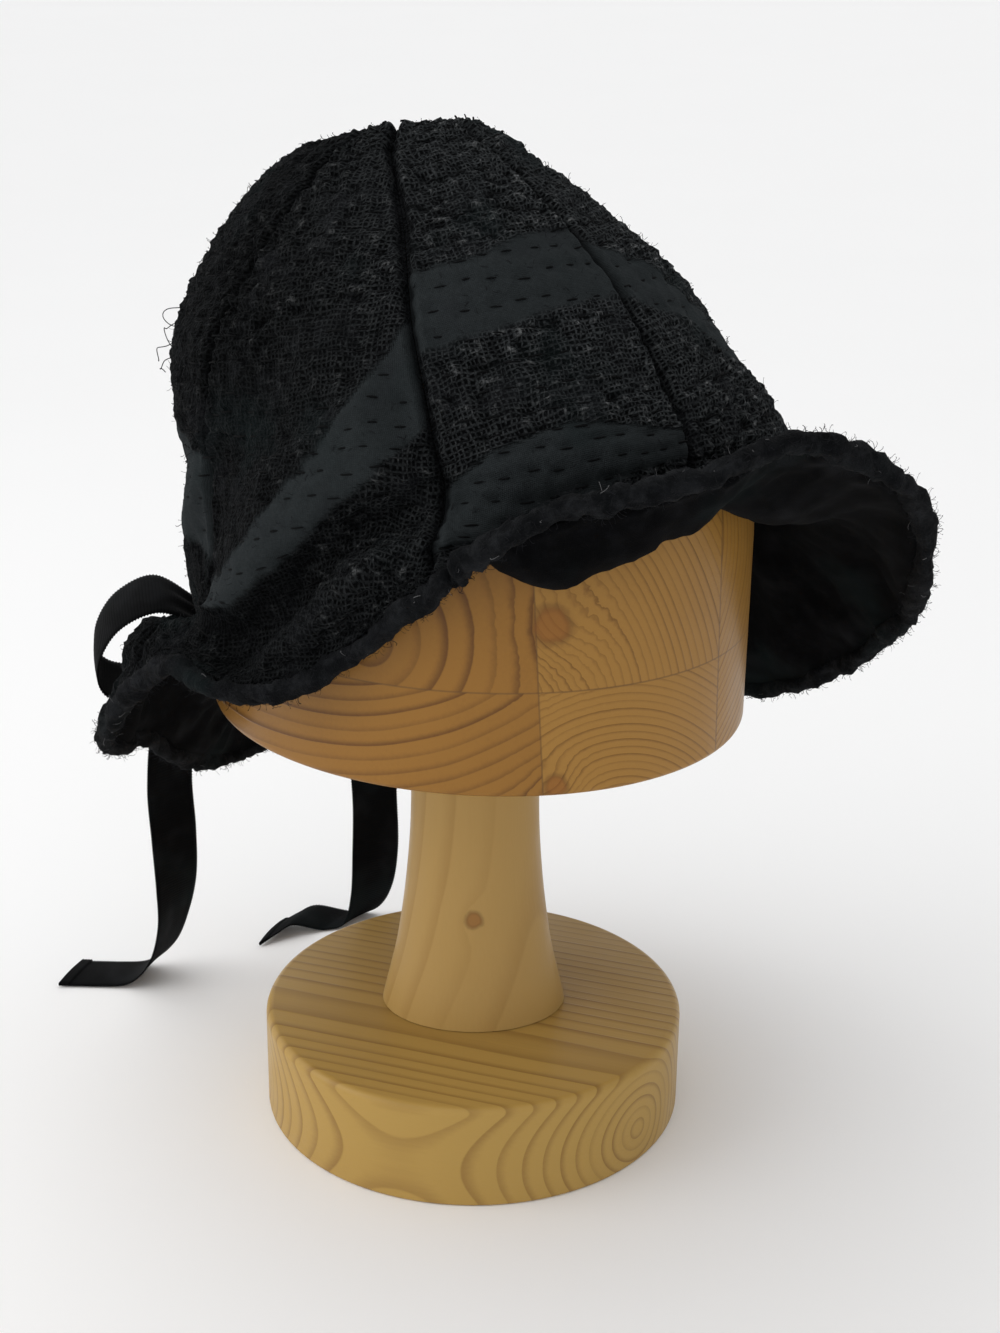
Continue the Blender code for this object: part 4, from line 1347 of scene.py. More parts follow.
@dataclass
class HatStand:
    """The pine stand: base, post and block, each turned smooth."""

    sizes: StandSizes = field(default_factory=StandSizes)
    segments: int = 192

    def turned(
        self, name: str, profile: list, stretch: tuple, turn: float, level: float
    ) -> bpy.types.Mesh:
        """A turned solid.

        Args:
            name: the mesh's name.
            profile: radius and height from the top down, without its ends on the axis.
            stretch: how far X and Y are stretched.
            turn: how far it is then turned, in degrees.
            level: the height of its foot.

        Returns:
            The mesh.
        """
        line = np.array(profile)
        angle = full_turn(self.segments)
        ring = np.stack([np.cos(angle) * stretch[0], np.sin(angle) * stretch[1]], -1)
        spin = math.radians(turn)
        ring = ring @ np.array(((math.cos(spin), math.sin(spin)), (-math.sin(spin), math.cos(spin))))
        points = np.zeros((self.segments, len(line), 3))
        points[..., :2] = ring[:, None, :] * line[None, :, :1]
        points[..., 2] = line[None, :, 1] + level
        number = np.arange(self.segments * len(line)).reshape(self.segments, len(line))
        after = np.roll(number, -1, 0)
        skin = quads(number[:, :-1], number[:, 1:], after[:, 1:], after[:, :-1])
        top = number.size
        ends = np.array([(0.0, 0.0, line[0, 1] + level), (0.0, 0.0, line[-1, 1] + level)])
        lids = [np.stack([np.full(self.segments, top), number[:, 0], after[:, 0]], -1)]
        lids.append(np.stack([np.full(self.segments, top + 1), after[:, -1], number[:, -1]], -1))
        mesh = mesh_of(name, np.concatenate([points.reshape(-1, 3), ends]), [skin] + lids)
        mesh.set_sharp_from_angle(angle=math.radians(40))
        return mesh

    @staticmethod
    def rounded(radius: float, edge: float, height: float, upper: bool) -> list:
        """Profile points round an edge of a turned solid, from the top down."""
        steps = 8
        side = 1.0 if upper else -1.0
        points = []
        for step in range(steps + 1):
            angle = 0.5 * math.pi * (1.0 - step / steps)
            if not upper:
                angle = 0.5 * math.pi - angle
            across = radius - edge + edge * math.cos(angle)
            points.append((across, height - side * edge + side * edge * math.sin(angle)))
        return points

    def base_mesh(self) -> bpy.types.Mesh:
        """The round base."""
        sizes = self.sizes
        rim = sizes.base_radius
        profile = [(rim * share, sizes.base_thickness) for share in (0.05, 0.4, 0.8)]
        profile += self.rounded(rim, sizes.base_edge, sizes.base_thickness, upper=True)
        profile += [(rim, sizes.base_thickness * share) for share in (0.7, 0.4)]
        profile += self.rounded(rim, 0.4 * sizes.base_edge, 0.0, upper=False)
        profile += [(rim * share, 0.0) for share in (0.5, 0.05)]
        return self.turned("stand_base_wood", profile, (1.0, 1.0), 0.0, 0.0)

    def post_mesh(self) -> bpy.types.Mesh:
        """The post, waisted above its middle and flared at the foot."""
        sizes = self.sizes
        flare = sizes.post_foot_half_width - sizes.post_waist_half_width
        heights = np.array((0.0, 0.22, 0.5, 0.74, 1.0))
        radii = sizes.post_waist_half_width + np.array((1.0, 0.45, 0.08, 0.0, 0.0))[:, None] * flare
        radii[-1] = sizes.post_top_half_width
        shares = np.linspace(1.0, 0.0, 41)
        reach = cubic(heights, lambda k: radii[k], shares)[:, 0]
        profile = [(reach[0] * 0.5, sizes.post_height)]
        profile += [(radius, share * sizes.post_height) for radius, share in zip(reach, shares)]
        profile.append((reach[-1] * 0.5, 0.0))
        flat = (1.0, sizes.post_flatness)
        turn = sizes.post_turn - 90.0
        return self.turned("stand_post_wood", profile, flat, turn, sizes.post_base_level)

    def block_mesh(self) -> bpy.types.Mesh:
        """The oval block: a straight wall under a dome."""
        sizes = self.sizes
        wide = sizes.block_half_length
        profile = []
        for climb in np.linspace(0.5 * math.pi, 0.0, 28)[1:]:
            height = sizes.block_wall_height + sizes.block_dome_height * math.sin(climb)
            profile.append((wide * math.cos(climb), height))
        profile += [(wide, sizes.block_wall_height * share) for share in (0.7, 0.4, 0.1)]
        profile += self.rounded(wide, sizes.block_edge, 0.0, upper=False)
        profile += [(wide * share, 0.0) for share in (0.6, 0.2)]
        oval = (sizes.block_half_width / wide, 1.0)
        return self.turned("stand_block_wood", profile, oval, sizes.block_turn, sizes.block_base_level)

    def build(self) -> None:
        """Makes the three pieces."""
        pale = (0.440, 0.276, 0.074)
        straw = (0.285, 0.160, 0.042)
        gold = (0.290, 0.135, 0.024)
        amber = (0.130, 0.052, 0.010)
        honey = (0.350, 0.178, 0.037)
        brown = (0.200, 0.092, 0.017)
        plank = Board((-0.0047, -0.0748, 0.0134), (0.0, 0.0, -72.5), 0.0041, pale, straw, 0.003)
        base = PineFinish("pine base", boards=(plank,))
        cream = (0.445, 0.280, 0.090)
        sand = (0.385, 0.232, 0.070)
        post = PineFinish(
            "pine post",
            boards=(Board((-0.004, 0.034, 0.09), (0.0, 85.0, 20.0), 0.0100, cream, sand, 0.008),),
            knots=(((-0.0154, -0.0115, 0.0778), (0.0, 0.0, -143.0), 0.0030),),
        )
        towards_front = (0.0, -19.0, -143.0)
        joint_level = 0.1883
        upright = ((-0.0650, -0.0692, 0.2191), (0.6007, -0.7972, 0.0608))
        block = PineFinish(
            "pine block",
            boards=(
                Board((-0.0863, -0.0267, 0.2010), towards_front, 0.0078, gold, amber, 0.006),
                Board((-0.0769, -0.0392, 0.1744), towards_front, 0.0025, honey, brown, 0.004),
                Board((-0.0901, -0.0217, 0.2629), towards_front, 0.0045, gold, amber, 0.005),
                Board((-0.0405, -0.0875, 0.1327), towards_front, 0.0023, honey, brown, 0.004),
                Board((-0.0769, -0.0393, 0.2367), towards_front, 0.0015, honey, brown, 0.004),
            ),
            cuts=(
                upright,
                ((0.0, 0.0, joint_level), (0.0, 0.0, -1.0), (0, -1.0)),
                ((0.0, 0.0, joint_level), (0.0, 0.0, -1.0), (0, 1.0)),
                ((-0.0040, -0.0950, 0.2194), (0.6016, -0.7984, 0.0256)),
            ),
            knots=(
                ((-0.0612, -0.0730, 0.2086), towards_front, 0.0056),
                ((-0.0596, -0.0746, 0.1590), towards_front, 0.0034),
            ),
        )
        piece("stand_base_wood", self.base_mesh(), base.make(), Slot.PINE, "stand_base")
        piece("stand_post_wood", self.post_mesh(), post.make(), Slot.PINE, "stand_post")
        piece("stand_block_wood", self.block_mesh(), block.make(), Slot.PINE, "stand_block")


# ---- the bonnet's cloth ----

# Smooth bands where the plain ground shows: for each gore, the share across it and the band's top and
# bottom levels there
BANDS = {
    Gore.FRONT_RIGHT: (
        (
            (0.00, 0.422, 0.528),
            (0.16, 0.416, 0.520),
            (0.33, 0.411, 0.513),
            (0.47, 0.400, 0.505),
            (0.65, 0.389, 0.497),
            (0.87, 0.384, 0.493),
            (1.00, 0.392, 0.494),
        ),
        (
            (0.00, 0.726, 0.880),
            (0.21, 0.679, 0.850),
            (0.51, 0.647, 0.800),
            (0.70, 0.663, 0.760),
            (1.00, 0.700, 0.750),
        ),
    ),
    Gore.SIDE_RIGHT: (
        (
            (0.20, 0.800, 0.845),
            (0.32, 0.779, 0.830),
            (0.47, 0.737, 0.806),
            (0.58, 0.689, 0.785),
            (0.70, 0.630, 0.743),
            (0.81, 0.553, 0.703),
            (0.90, 0.521, 0.664),
            (1.00, 0.480, 0.615),
        ),
    ),
    Gore.FRONT_LEFT: (
        (
            (0.00, 0.396, 0.495),
            (0.08, 0.426, 0.511),
            (0.19, 0.453, 0.526),
            (0.29, 0.479, 0.547),
            (0.41, 0.530, 0.600),
            (1.00, 0.640, 0.720),
        ),
    ),
    Gore.SIDE_LEFT: (((0.0, 0.60, 0.74), (0.5, 0.56, 0.70), (1.0, 0.50, 0.66)),),
    Gore.BACK_LEFT: (((0.0, 0.34, 0.46), (0.5, 0.38, 0.50), (1.0, 0.42, 0.54)),),
    Gore.BACK_RIGHT: (((0.0, 0.56, 0.70), (0.5, 0.60, 0.73), (1.0, 0.66, 0.78)),),
}


@dataclass
class ClothGrid:
    """The bonnet's face as fine columns and rows, with its flat coordinates."""

    form: BonnetForm
    columns_per_gore: int = 96
    rows: int = 190

    def __post_init__(self) -> None:
        """Works out the plain face, its normals and the cloth's own lengths."""
        form = self.form
        even = np.arange(self.columns_per_gore) / self.columns_per_gore
        self.share = np.tile(0.55 * even + 0.45 * (0.5 - 0.5 * np.cos(math.pi * even)), len(Gore))
        gore = np.repeat(np.arange(len(Gore)), self.columns_per_gore)
        self.levels = np.linspace(0.0, 1.0, self.rows + 1)
        self.level = np.broadcast_to(self.levels, (len(gore), self.rows + 1))
        seams = form.seam_lines(self.levels)
        self.azimuth = seams[gore] + (seams[gore + 1] - seams[gore]) * self.share[:, None]
        plain = form.plain(self.azimuth.ravel(), self.level.ravel()).reshape(*self.level.shape, 3)
        height = form.folds(self.azimuth, self.level, FOLDS)
        height += form.fullness(np.broadcast_to(self.share[:, None], self.level.shape), self.level)
        self.face = form.clear_of_block(plain + grid_normals(plain, closed=True) * height[..., None])
        self.normals = grid_normals(self.face, closed=True)
        down = np.linalg.norm(np.diff(self.face, axis=1), axis=-1)
        self.down = np.concatenate([np.zeros((len(gore), 1)), np.cumsum(down, axis=1)], axis=1)
        step = np.linalg.norm(np.roll(self.face, -1, 0) - self.face, axis=-1)
        self.across = np.zeros_like(self.down)
        self.from_seam = np.zeros_like(self.down)
        for index in range(len(Gore)):
            own = self.columns_of(index)
            run = np.concatenate([np.zeros((1, self.rows + 1)), np.cumsum(step[own], axis=0)])
            self.across[own] = run[:-1] - 0.5 * run[-1]
            self.from_seam[own] = np.minimum(run[:-1], run[-1] - run[:-1])

    def columns_of(self, index: int) -> slice:
        """The columns of one gore, without the next gore's first."""
        return slice(index * self.columns_per_gore, (index + 1) * self.columns_per_gore)

    def panel(self, values: np.ndarray, index: int) -> np.ndarray:
        """A gore's columns, with the next gore's first column as its last."""
        first = index * self.columns_per_gore
        return np.take(values, range(first, first + self.columns_per_gore + 1), axis=0, mode="wrap")


@dataclass
class Crown:
    """The six gores: crinkled gauze with smooth bands, quilted in rows of short stitches."""

    grid: ClothGrid
    crinkle: float = 0.00185
    ridge_spread: float = 0.0075
    ridge_length: float = 0.0034
    stitch_row: float = 1.0 / 29.0
    stitch_pitch: float = 0.0082
    stitch_length: float = 0.0046
    stitch_dip: float = 0.0007
    thread_radius: float = 0.00028
    seam_gap: float = 0.0002
    seam_dip: float = 0.0016
    seam: float = 0.0016
    # Where the painted light on the gauze peaks, as an azimuth with its sign turned.
    painted_light_side: float = -20.0
    flap_azimuth: float = -137.0
    flap_crumple: float = 0.0042
    gather_depth: float = 0.0011
    swell: float = 0.0009
    band_rise: float = 0.0005
    band_grain: float = 0.00035
    dip_half_length: float = 0.0031
    dip_half_width: float = 0.0017
    seam_ridge: float = 0.0007
    deepest: float = -0.0013
    stitch_rise: float = 0.00045
    stitch_reach: float = 0.0013

    def band_mask(self) -> np.ndarray:
        """One where the smooth ground shows, and nothing where gauze covers it."""
        grid = self.grid
        mask = np.zeros_like(grid.level)
        ragged = 0.004 * SolidNoise(5).at(grid.face / 0.006)
        for index, gore in enumerate(Gore):
            own = grid.columns_of(index)
            share = grid.share[own]
            for rows in BANDS.get(gore, ()):
                knots, top, bottom = np.array(rows).T
                upper = np.interp(share, knots, top)[:, None] + ragged[own]
                lower = np.interp(share, knots, bottom)[:, None] + ragged[own]
                inside = step_up(grid.level[own] - upper, -0.004, 0.004)
                inside *= step_up(lower - grid.level[own], -0.004, 0.004)
                mask[own] = np.maximum(mask[own], inside)
        return mask

    def stitch_lattice(self) -> tuple[np.ndarray, np.ndarray]:
        """Each point's offset from its nearest stitch, across and down, in metres."""
        grid = self.grid
        scatter = np.random.default_rng(11).uniform(-1.0, 1.0, (2, 128, 128))
        row = np.round(grid.level / self.stitch_row).astype(int)
        stagger = 0.5 * (row % 2) + 0.35 * scatter[0, row % 128, 7]
        column = np.round(grid.across / self.stitch_pitch - stagger).astype(int)
        jitter = scatter[:, row % 128, column % 128]
        across = grid.across - (column + stagger + 0.16 * jitter[0]) * self.stitch_pitch
        length = grid.down[:, -1:] * self.stitch_row
        down = (grid.level / self.stitch_row - row - 0.16 * jitter[1]) * length
        return across, down

    def relief(self, mask: np.ndarray) -> tuple[np.ndarray, np.ndarray, np.ndarray]:
        """How far the cloth stands off the plain face.

        Args:
            mask: the smooth bands.

        Returns:
            The height, a mask of deep hollows and seams for painted shade, and a mask of proud tufts for a
            painted highlight.
        """
        grid = self.grid
        usual_length = 0.215
        down = grid.level * usual_length / self.ridge_length
        flat = np.stack([grid.across / self.ridge_spread, down, np.full_like(grid.level, 0.5)], -1)
        apart = np.repeat(np.arange(len(Gore)), grid.columns_per_gore)[:, None, None] * 37.0
        coarse = SolidNoise(2).layered(flat + apart, 3)
        ridges = 1.0 - 2.0 * np.abs(coarse)
        tufts = SolidNoise(3).layered(grid.face / 0.0045, 2)
        swell = SolidNoise(4).layered(grid.face / 0.026, 2)
        rough = 0.62 * ridges + 0.55 * tufts
        fine = SolidNoise(7).at(grid.face / 0.0026)
        thick = 0.55 + 0.45 * step_up(SolidNoise(6).at(grid.face / 0.035), -0.6, 0.6)
        near_apex = step_up(grid.level, 0.02, 0.12)
        height = (1.0 - mask) * self.crinkle * (rough + 0.35 * fine) * thick * near_apex
        height += mask * self.band_grain * tufts + self.swell * swell * near_apex
        height += self.band_rise * mask
        across, down = self.stitch_lattice()
        dip = bell(across / self.dip_half_length) * bell(down / self.dip_half_width)
        height -= self.stitch_dip * (0.8 + 0.5 * mask) * dip * near_apex
        height += grid.form.folds(grid.azimuth, grid.level, FINE_FOLDS)
        seam = bell(grid.from_seam / self.seam)
        ridge = bell((grid.from_seam - 2.1 * self.seam) / (0.8 * self.seam))
        height += (self.seam_ridge * ridge - self.seam_dip * seam) * step_up(grid.level, 0.01, 0.10)
        from_flap = np.abs(past(grid.azimuth, self.flap_azimuth))
        crumpled = bell(from_flap / 13.0) * step_up(grid.level, 0.84, 0.94)
        height += crumpled * self.flap_crumple * SolidNoise(8).layered(grid.face / 0.010, 3)
        gathered = bell(np.abs(grid.azimuth - 180.0) / 26.0) * bell((grid.level - 0.84) / 0.10)
        height += gathered * self.gather_depth * np.sin(np.radians(grid.azimuth) * 42.0)
        past_deepest = height - self.deepest
        height = np.where(past_deepest < 0.0, self.deepest + 0.15 * past_deepest, height)
        # Painted shade mask: high where the cloth sinks deep and along the seams.
        shade_in_hollows = step_up(-height, 0.0002, 0.0012) * (1.0 - 0.5 * mask)
        raised = step_up(rough * thick, 0.15, 0.75) * (1.0 - mask) * (1.0 - seam)
        return height, np.clip(shade_in_hollows + 0.8 * seam, 0.0, 1.0), raised

    def build(self, gauze: Material, thread: Material) -> list[bpy.types.Object]:
        """Makes the six gores and their stitches.

        Args:
            gauze: the cloth's finish.
            thread: the stitches' finish.

        Returns:
            The gores.
        """
        grid = self.grid
        mask = self.band_mask()
        height, shade_in_hollows, raised = self.relief(mask)
        # Painted light: 1 towards the front, 20 degrees towards the wearer's left, and 0 at the back; the
        # gauze's finish brightens its colour by it.
        faded_and_painted_light = 0.5 + 0.5 * np.cos(np.radians(grid.azimuth + self.painted_light_side))
        stored = {"band": mask, "hollow_shade": shade_in_hollows, "raised": raised, "faded_and_painted_light": faded_and_painted_light}
        outer = grid.face + grid.normals * height[..., None]
        inner = grid.face - grid.normals * grid.form.shell_wall
        gores = []
        for index, gore in enumerate(Gore):
            shells = []
            for grid_points, gap in ((outer, self.seam_gap), (inner, 0.1 * self.seam_gap)):
                panel = grid.panel(grid_points, index).copy()
                for edge, inside in ((0, 1), (-1, -2)):
                    run = panel[inside] - panel[edge]
                    reach = np.linalg.norm(run, axis=-1, keepdims=True)
                    panel[edge] += run / np.maximum(reach, 1e-9) * np.minimum(gap, 0.3 * reach)
                shells.append(panel)
            mesh = wall_mesh(gore.value + "_cloth", shells[0], shells[1], closed=False)
            across = grid.panel(grid.across, index)
            across[-1] = -across[0]
            put_uv(mesh, across, grid.panel(grid.down, index))
            for name, values in stored.items():
                put_attribute(mesh, name, grid.panel(values, index))
            gores.append(piece(gore.value + "_cloth", mesh, gauze, Slot.GAUZE, gore.value))
        self.sew(outer, mask, thread)
        return gores

    def sew(self, outer: np.ndarray, mask: np.ndarray, thread: Material) -> None:
        """Lays a stitch in each dip of the quilting.

        Args:
            outer: the cloth's outer face.
            mask: the smooth bands.
            thread: the stitches' finish.
        """
        grid = self.grid
        across, down = self.stitch_lattice()
        near = np.hypot(across, down)
        lower = np.full_like(near, np.inf)
        for shift_column in (-1, 0, 1):
            for shift_row in (-1, 0, 1):
                if shift_column or shift_row:
                    lower = np.minimum(lower, np.roll(near, (shift_column, shift_row), (0, 1)))
        chosen = (near < lower) & (near < self.stitch_reach)
        chosen &= (grid.level > 0.10) & (grid.level < 0.985)
        chosen &= grid.from_seam > 0.0030
        column, row = np.nonzero(chosen)
        along = unit(outer[(column + 1) % len(outer), row] - outer[column - 1, row])
        normals = grid_normals(outer, closed=True)
        proud = unit(0.5 * normals[column, row] + 0.5 * grid.normals[column, row])
        points = outer[column, row] + proud * 0.0001
        carrier = bpy.data.meshes.new("stitch_places")
        carrier.from_pydata(points.tolist(), [], [])
        for name, values in (("along", along), ("proud", proud)):
            stored = carrier.attributes.new(name, "FLOAT_VECTOR", "POINT")
            stored.data.foreach_set("vector", values.astype(np.float32).ravel())
        inputs = {
            "Stitch length": self.stitch_length,
            "Thread radius": self.thread_radius,
            "Rise": self.stitch_rise,
            "Seed": 3,
            "Material": thread,
        }
        mesh = ShortStitches.run("quilting_stitches", carrier, inputs)
        piece("quilting_stitches", mesh, thread, Slot.GAUZE)


@dataclass
class Brim:
    """The lining under the brim, and the raw edge rolled over and sewn down."""

    grid: ClothGrid
    lining_top_level: float = 0.66
    roll_sides: int = 14
    wrinkle: float = 0.0016
    roll_overlap: float = 0.0009
    roll_drift: float = 0.0009
    roll_twist: float = 0.016

    def lining_mesh(self) -> bpy.types.Mesh:
        """The lining, wrinkled towards the edge where it shows."""
        grid = self.grid
        form = grid.form
        every = 2
        first = int(self.lining_top_level * grid.rows)
        face = grid.face[::every, first:]
        normals = grid.normals[::every, first:]
        azimuth = grid.azimuth[::every, first:]
        level = grid.level[::every, first:]
        fade = step_up(level, 0.80, 0.90) * step_up(1.0 - level, 0.0, 0.02)
        noise = SolidNoise(21)
        around_brim = np.radians(azimuth)
        swirl = np.stack([np.cos(around_brim) * 9.0, np.sin(around_brim) * 9.0, level * 5.0], -1)
        radial = 1.0 - 2.0 * np.abs(noise.layered(swirl, 2))
        broad = SolidNoise(22).layered(face / 0.018, 3)
        radial = radial + 0.3 * np.sin(around_brim * 9.0 + 2.0 * level)
        depth = np.maximum(self.wrinkle * fade * (0.7 * radial + 0.9 * broad), -0.0002)
        upper = face - normals * (form.shell_wall + form.piece_gap)
        lower = face - normals * (form.cloth_wall + depth[..., None])
        mesh = wall_mesh("brim_lining", upper, lower, closed=True)
        put_uv(mesh, grid.across[::every, first:], grid.down[::every, first:])
        return mesh

    def roll_mesh(self) -> bpy.types.Mesh:
        """The rolled edge, lumpy and twisted, just past the gores and the lining."""
        grid = self.grid
        form = grid.form
        rim = grid.face[:, -1] - grid.normals[:, -1] * 0.5 * form.cloth_wall
        before = grid.face[:, -4] - grid.normals[:, -4] * 0.5 * form.cloth_wall
        along = unit(np.roll(rim, -2, 0) - np.roll(rim, 2, 0))
        outward = rim - before
        outward = unit(outward - along * (outward * along).sum(-1, keepdims=True))
        across = np.cross(along, outward)
        noise = SolidNoise(31)
        centre = rim + outward * (form.edge_roll_radius - self.roll_overlap)
        centre += outward * self.roll_drift * noise.at(rim / 0.012)[:, None]
        centre += across * self.roll_drift * noise.at(rim / 0.014 + 40.0)[:, None]
        angle = full_turn(self.roll_sides)
        run = np.cumsum(np.linalg.norm(np.roll(rim, -1, 0) - rim, axis=-1))
        spin = run[:, None] / self.roll_twist + angle[None, :]
        directions = rings_about(outward, across, angle)
        lumps = noise.layered((centre[:, None] + directions * form.edge_roll_radius) / 0.0050, 3)
        radius = form.edge_roll_radius * (0.96 + 0.18 * np.sin(2.0 * spin) + 0.42 * lumps)
        mesh = tube_mesh("brim_roll", centre[:, None] + directions * radius[..., None], closed=True)
        put_uv(mesh, run[:, None], angle[None, :] * form.edge_roll_radius, faces=1)
        return mesh

    def build(self, lining: Material, edge: Material) -> bpy.types.Object:
        """Makes the lining and the rolled edge.

        Args:
            lining: the lining's finish.
            edge: the rolled edge's finish.

        Returns:
            The rolled edge.
        """
        piece("brim_lining", self.lining_mesh(), lining, Slot.LINING, "lining")
        return piece("brim_roll", self.roll_mesh(), edge, Slot.EDGE, "brim_edge")


# Curled thread ends: azimuth and level where each leaves the cloth, and its length in metres
STRAY_THREADS = (
    (-139, 0.43, 0.016),
    (-138, 0.46, 0.012),
    (-140, 0.49, 0.010),
    (-137, 0.51, 0.008),
    (-150, 0.88, 0.012),
    (-118, 0.90, 0.009),
    (-20, 0.93, 0.008),
    (62, 0.74, 0.012),
    (130, 0.90, 0.011),
    (158, 0.55, 0.010),
)


@dataclass
class Fraying:
    """Loose fibres, dense on the rolled edge and sparse on the gauze, with pale lint and stray threads."""

    grid: ClothGrid
    edge_density: float = 230000.0
    cloth_density: float = 34000.0
    lint_density: float = 4500.0
    thread_radius: float = 0.00016
    standing: float = 0.42
    hanging: float = 0.7
    curl: float = 0.13

    def build(self, roll: bpy.types.Object, gores: list, dark: Material, pale: Material) -> None:
        """Scatters the fibres.

        Args:
            roll: the rolled edge.
            gores: the gores.
            dark: the finish of black fibres.
            pale: the finish of lint.
        """
        cloth = self.carrier(gores)
        kinds = (
            # name, carrier, density, length, radius, lean, seed, finish, slot
            ("edge_fibres", roll.data, self.edge_density, 0.0028, 0.00009, 1.0, 5, dark, Slot.EDGE),
            ("edge_lint", roll.data, self.lint_density, 0.0030, 0.00010, 1.0, 9, pale, Slot.EDGE),
            ("gauze_fibres", cloth, self.cloth_density, 0.0024, 0.00011, 1.5, 13, dark, Slot.GAUZE),
        )
        for name, carrier, density, length, radius, lean, seed, finish, slot in kinds:
            inputs = {"Density": density, "Fibre length": length, "Fibre radius": radius}
            inputs.update({"Lean": lean, "Seed": seed, "Material": finish})
            piece(name, LooseFibres.run(name, carrier.copy(), inputs), finish, slot)
        piece("stray_threads", self.stray_threads(), dark, Slot.GAUZE)

    @staticmethod
    def carrier(gores: list) -> bpy.types.Mesh:
        """The outer faces of all the gores, in one mesh."""
        points = []
        faces = []
        start = 0
        for gore in gores:
            mesh = gore.data
            half = len(mesh.vertices) // 2
            places = np.empty(len(mesh.vertices) * 3)
            mesh.vertices.foreach_get("co", places)
            quads = corners_of(mesh).reshape(-1, 4)
            points.append(places.reshape(-1, 3)[:half])
            faces.append(quads[(quads < half).all(1)] + start)
            start += half
        return mesh_of("fluff_places", np.concatenate(points), faces)

    def stray_threads(self) -> bpy.types.Mesh:
        """A few curled thread ends that stand off the cloth."""
        random = np.random.default_rng(23)
        points = []
        faces = []
        start = 0
        sides = 5
        steps = 24
        angle = full_turn(sides)
        for azimuth, level, length in STRAY_THREADS:
            aside = np.abs(past(self.grid.azimuth, azimuth))
            gap = aside + 200.0 * np.abs(self.grid.level - level)
            near = np.unravel_index(np.argmin(gap), gap.shape)
            out = self.grid.normals[near]
            drop = unit(np.array((0.0, 0.0, -1.0)) + 0.3 * random.normal(size=3))
            turn = random.uniform(0.0, 6.0, 3)
            at = np.linspace(0.0, 1.0, steps)
            path = self.grid.face[near] + out * (self.standing * length * np.sin(2.6 * at))[:, None]
            path = path + drop * (self.hanging * length * at)[:, None]
            path = path + self.curl * length * at[:, None] * np.sin(9.0 * at[:, None] + turn)
            along = unit(np.gradient(path, axis=0))
            side = unit(np.cross(along, out + 0.01))
            ring = rings_about(side, np.cross(along, side), angle)
            points.append((path[:, None] + ring * self.thread_radius).reshape(-1, 3))
            number = np.arange(steps * sides).reshape(steps, sides) + start
            after = np.roll(number, -1, 1)
            faces.append(quads(number[:-1], after[:-1], after[1:], number[1:]))
            faces += [number[:1, ::-1], number[-1:]]
            start += steps * sides
        return mesh_of("stray_threads", np.concatenate(points), faces)


# ---- the ribbon ----

# Bow loops: how far out from the knot's side, as a share of the loop's length, how high above the
# knot's middle, as a share of its height, and the ribbon's gathered width as a share of its full width
LOOP_ROUTE = np.array(
    (
        # out, rise, width
        (0.00, 0.14, 0.45),
        (0.20, 0.36, 0.75),
        (0.50, 0.56, 1.00),
        (0.80, 0.42, 1.00),
        (0.97, 0.14, 1.00),
        (1.00, -0.15, 1.00),
        (0.88, -0.32, 1.00),
        (0.58, -0.36, 1.00),
        (0.26, -0.22, 0.75),
        (0.00, -0.12, 0.45),
    )
)

# Tails: place across and behind the knot, as shares of the spread, height as a share of the knot's own
# height, the width's turn in degrees from the wearer's left towards the back, and the share of the width
TAIL_ROUTES = {
    Side.RIGHT: np.array(
        (
            # across, behind, height, turn, width
            (-0.045, 0.04, 0.914, -8, 0.30),
            (-0.12, 0.20, 0.890, -8, 0.75),
            (-0.20, 0.30, 0.790, -8, 1.00),
            (-0.23, 0.34, 0.620, -8, 1.00),
            (-0.23, 0.33, 0.460, -8, 1.00),
            (-0.22, 0.34, 0.320, -2, 1.00),
            (-0.20, 0.40, 0.195, 8, 0.95),
            (-0.20, 0.50, 0.080, 16, 1.00),
            (-0.26, 0.62, 0.012, 22, 1.00),
            (-0.36, 0.77, 0.000, 22, 1.00),
            (-0.48, 0.94, 0.000, 22, 1.00),
        )
    ),
    Side.LEFT: np.array(
        (
            # across, behind, height, turn, width
            (0.045, 0.04, 0.914, -4, 0.30),
            (0.28, 0.14, 0.890, -10, 0.70),
            (0.66, 0.06, 0.800, -24, 1.00),
            (0.90, 0.00, 0.690, -32, 1.00),
            (0.96, -0.02, 0.560, -32, 1.00),
            (0.97, -0.03, 0.410, -22, 1.00),
            (0.97, -0.03, 0.250, -28, 1.00),
            (0.98, 0.01, 0.110, -18, 1.00),
            (0.98, 0.10, 0.014, -4, 1.00),
            (0.89, 0.20, 0.000, 6, 1.00),
            (0.74, 0.31, 0.030, 12, 1.00),
            (0.64, 0.35, 0.020, 16, 1.00),
            (0.52, 0.39, 0.000, 19, 1.00),
        )
    ),
}


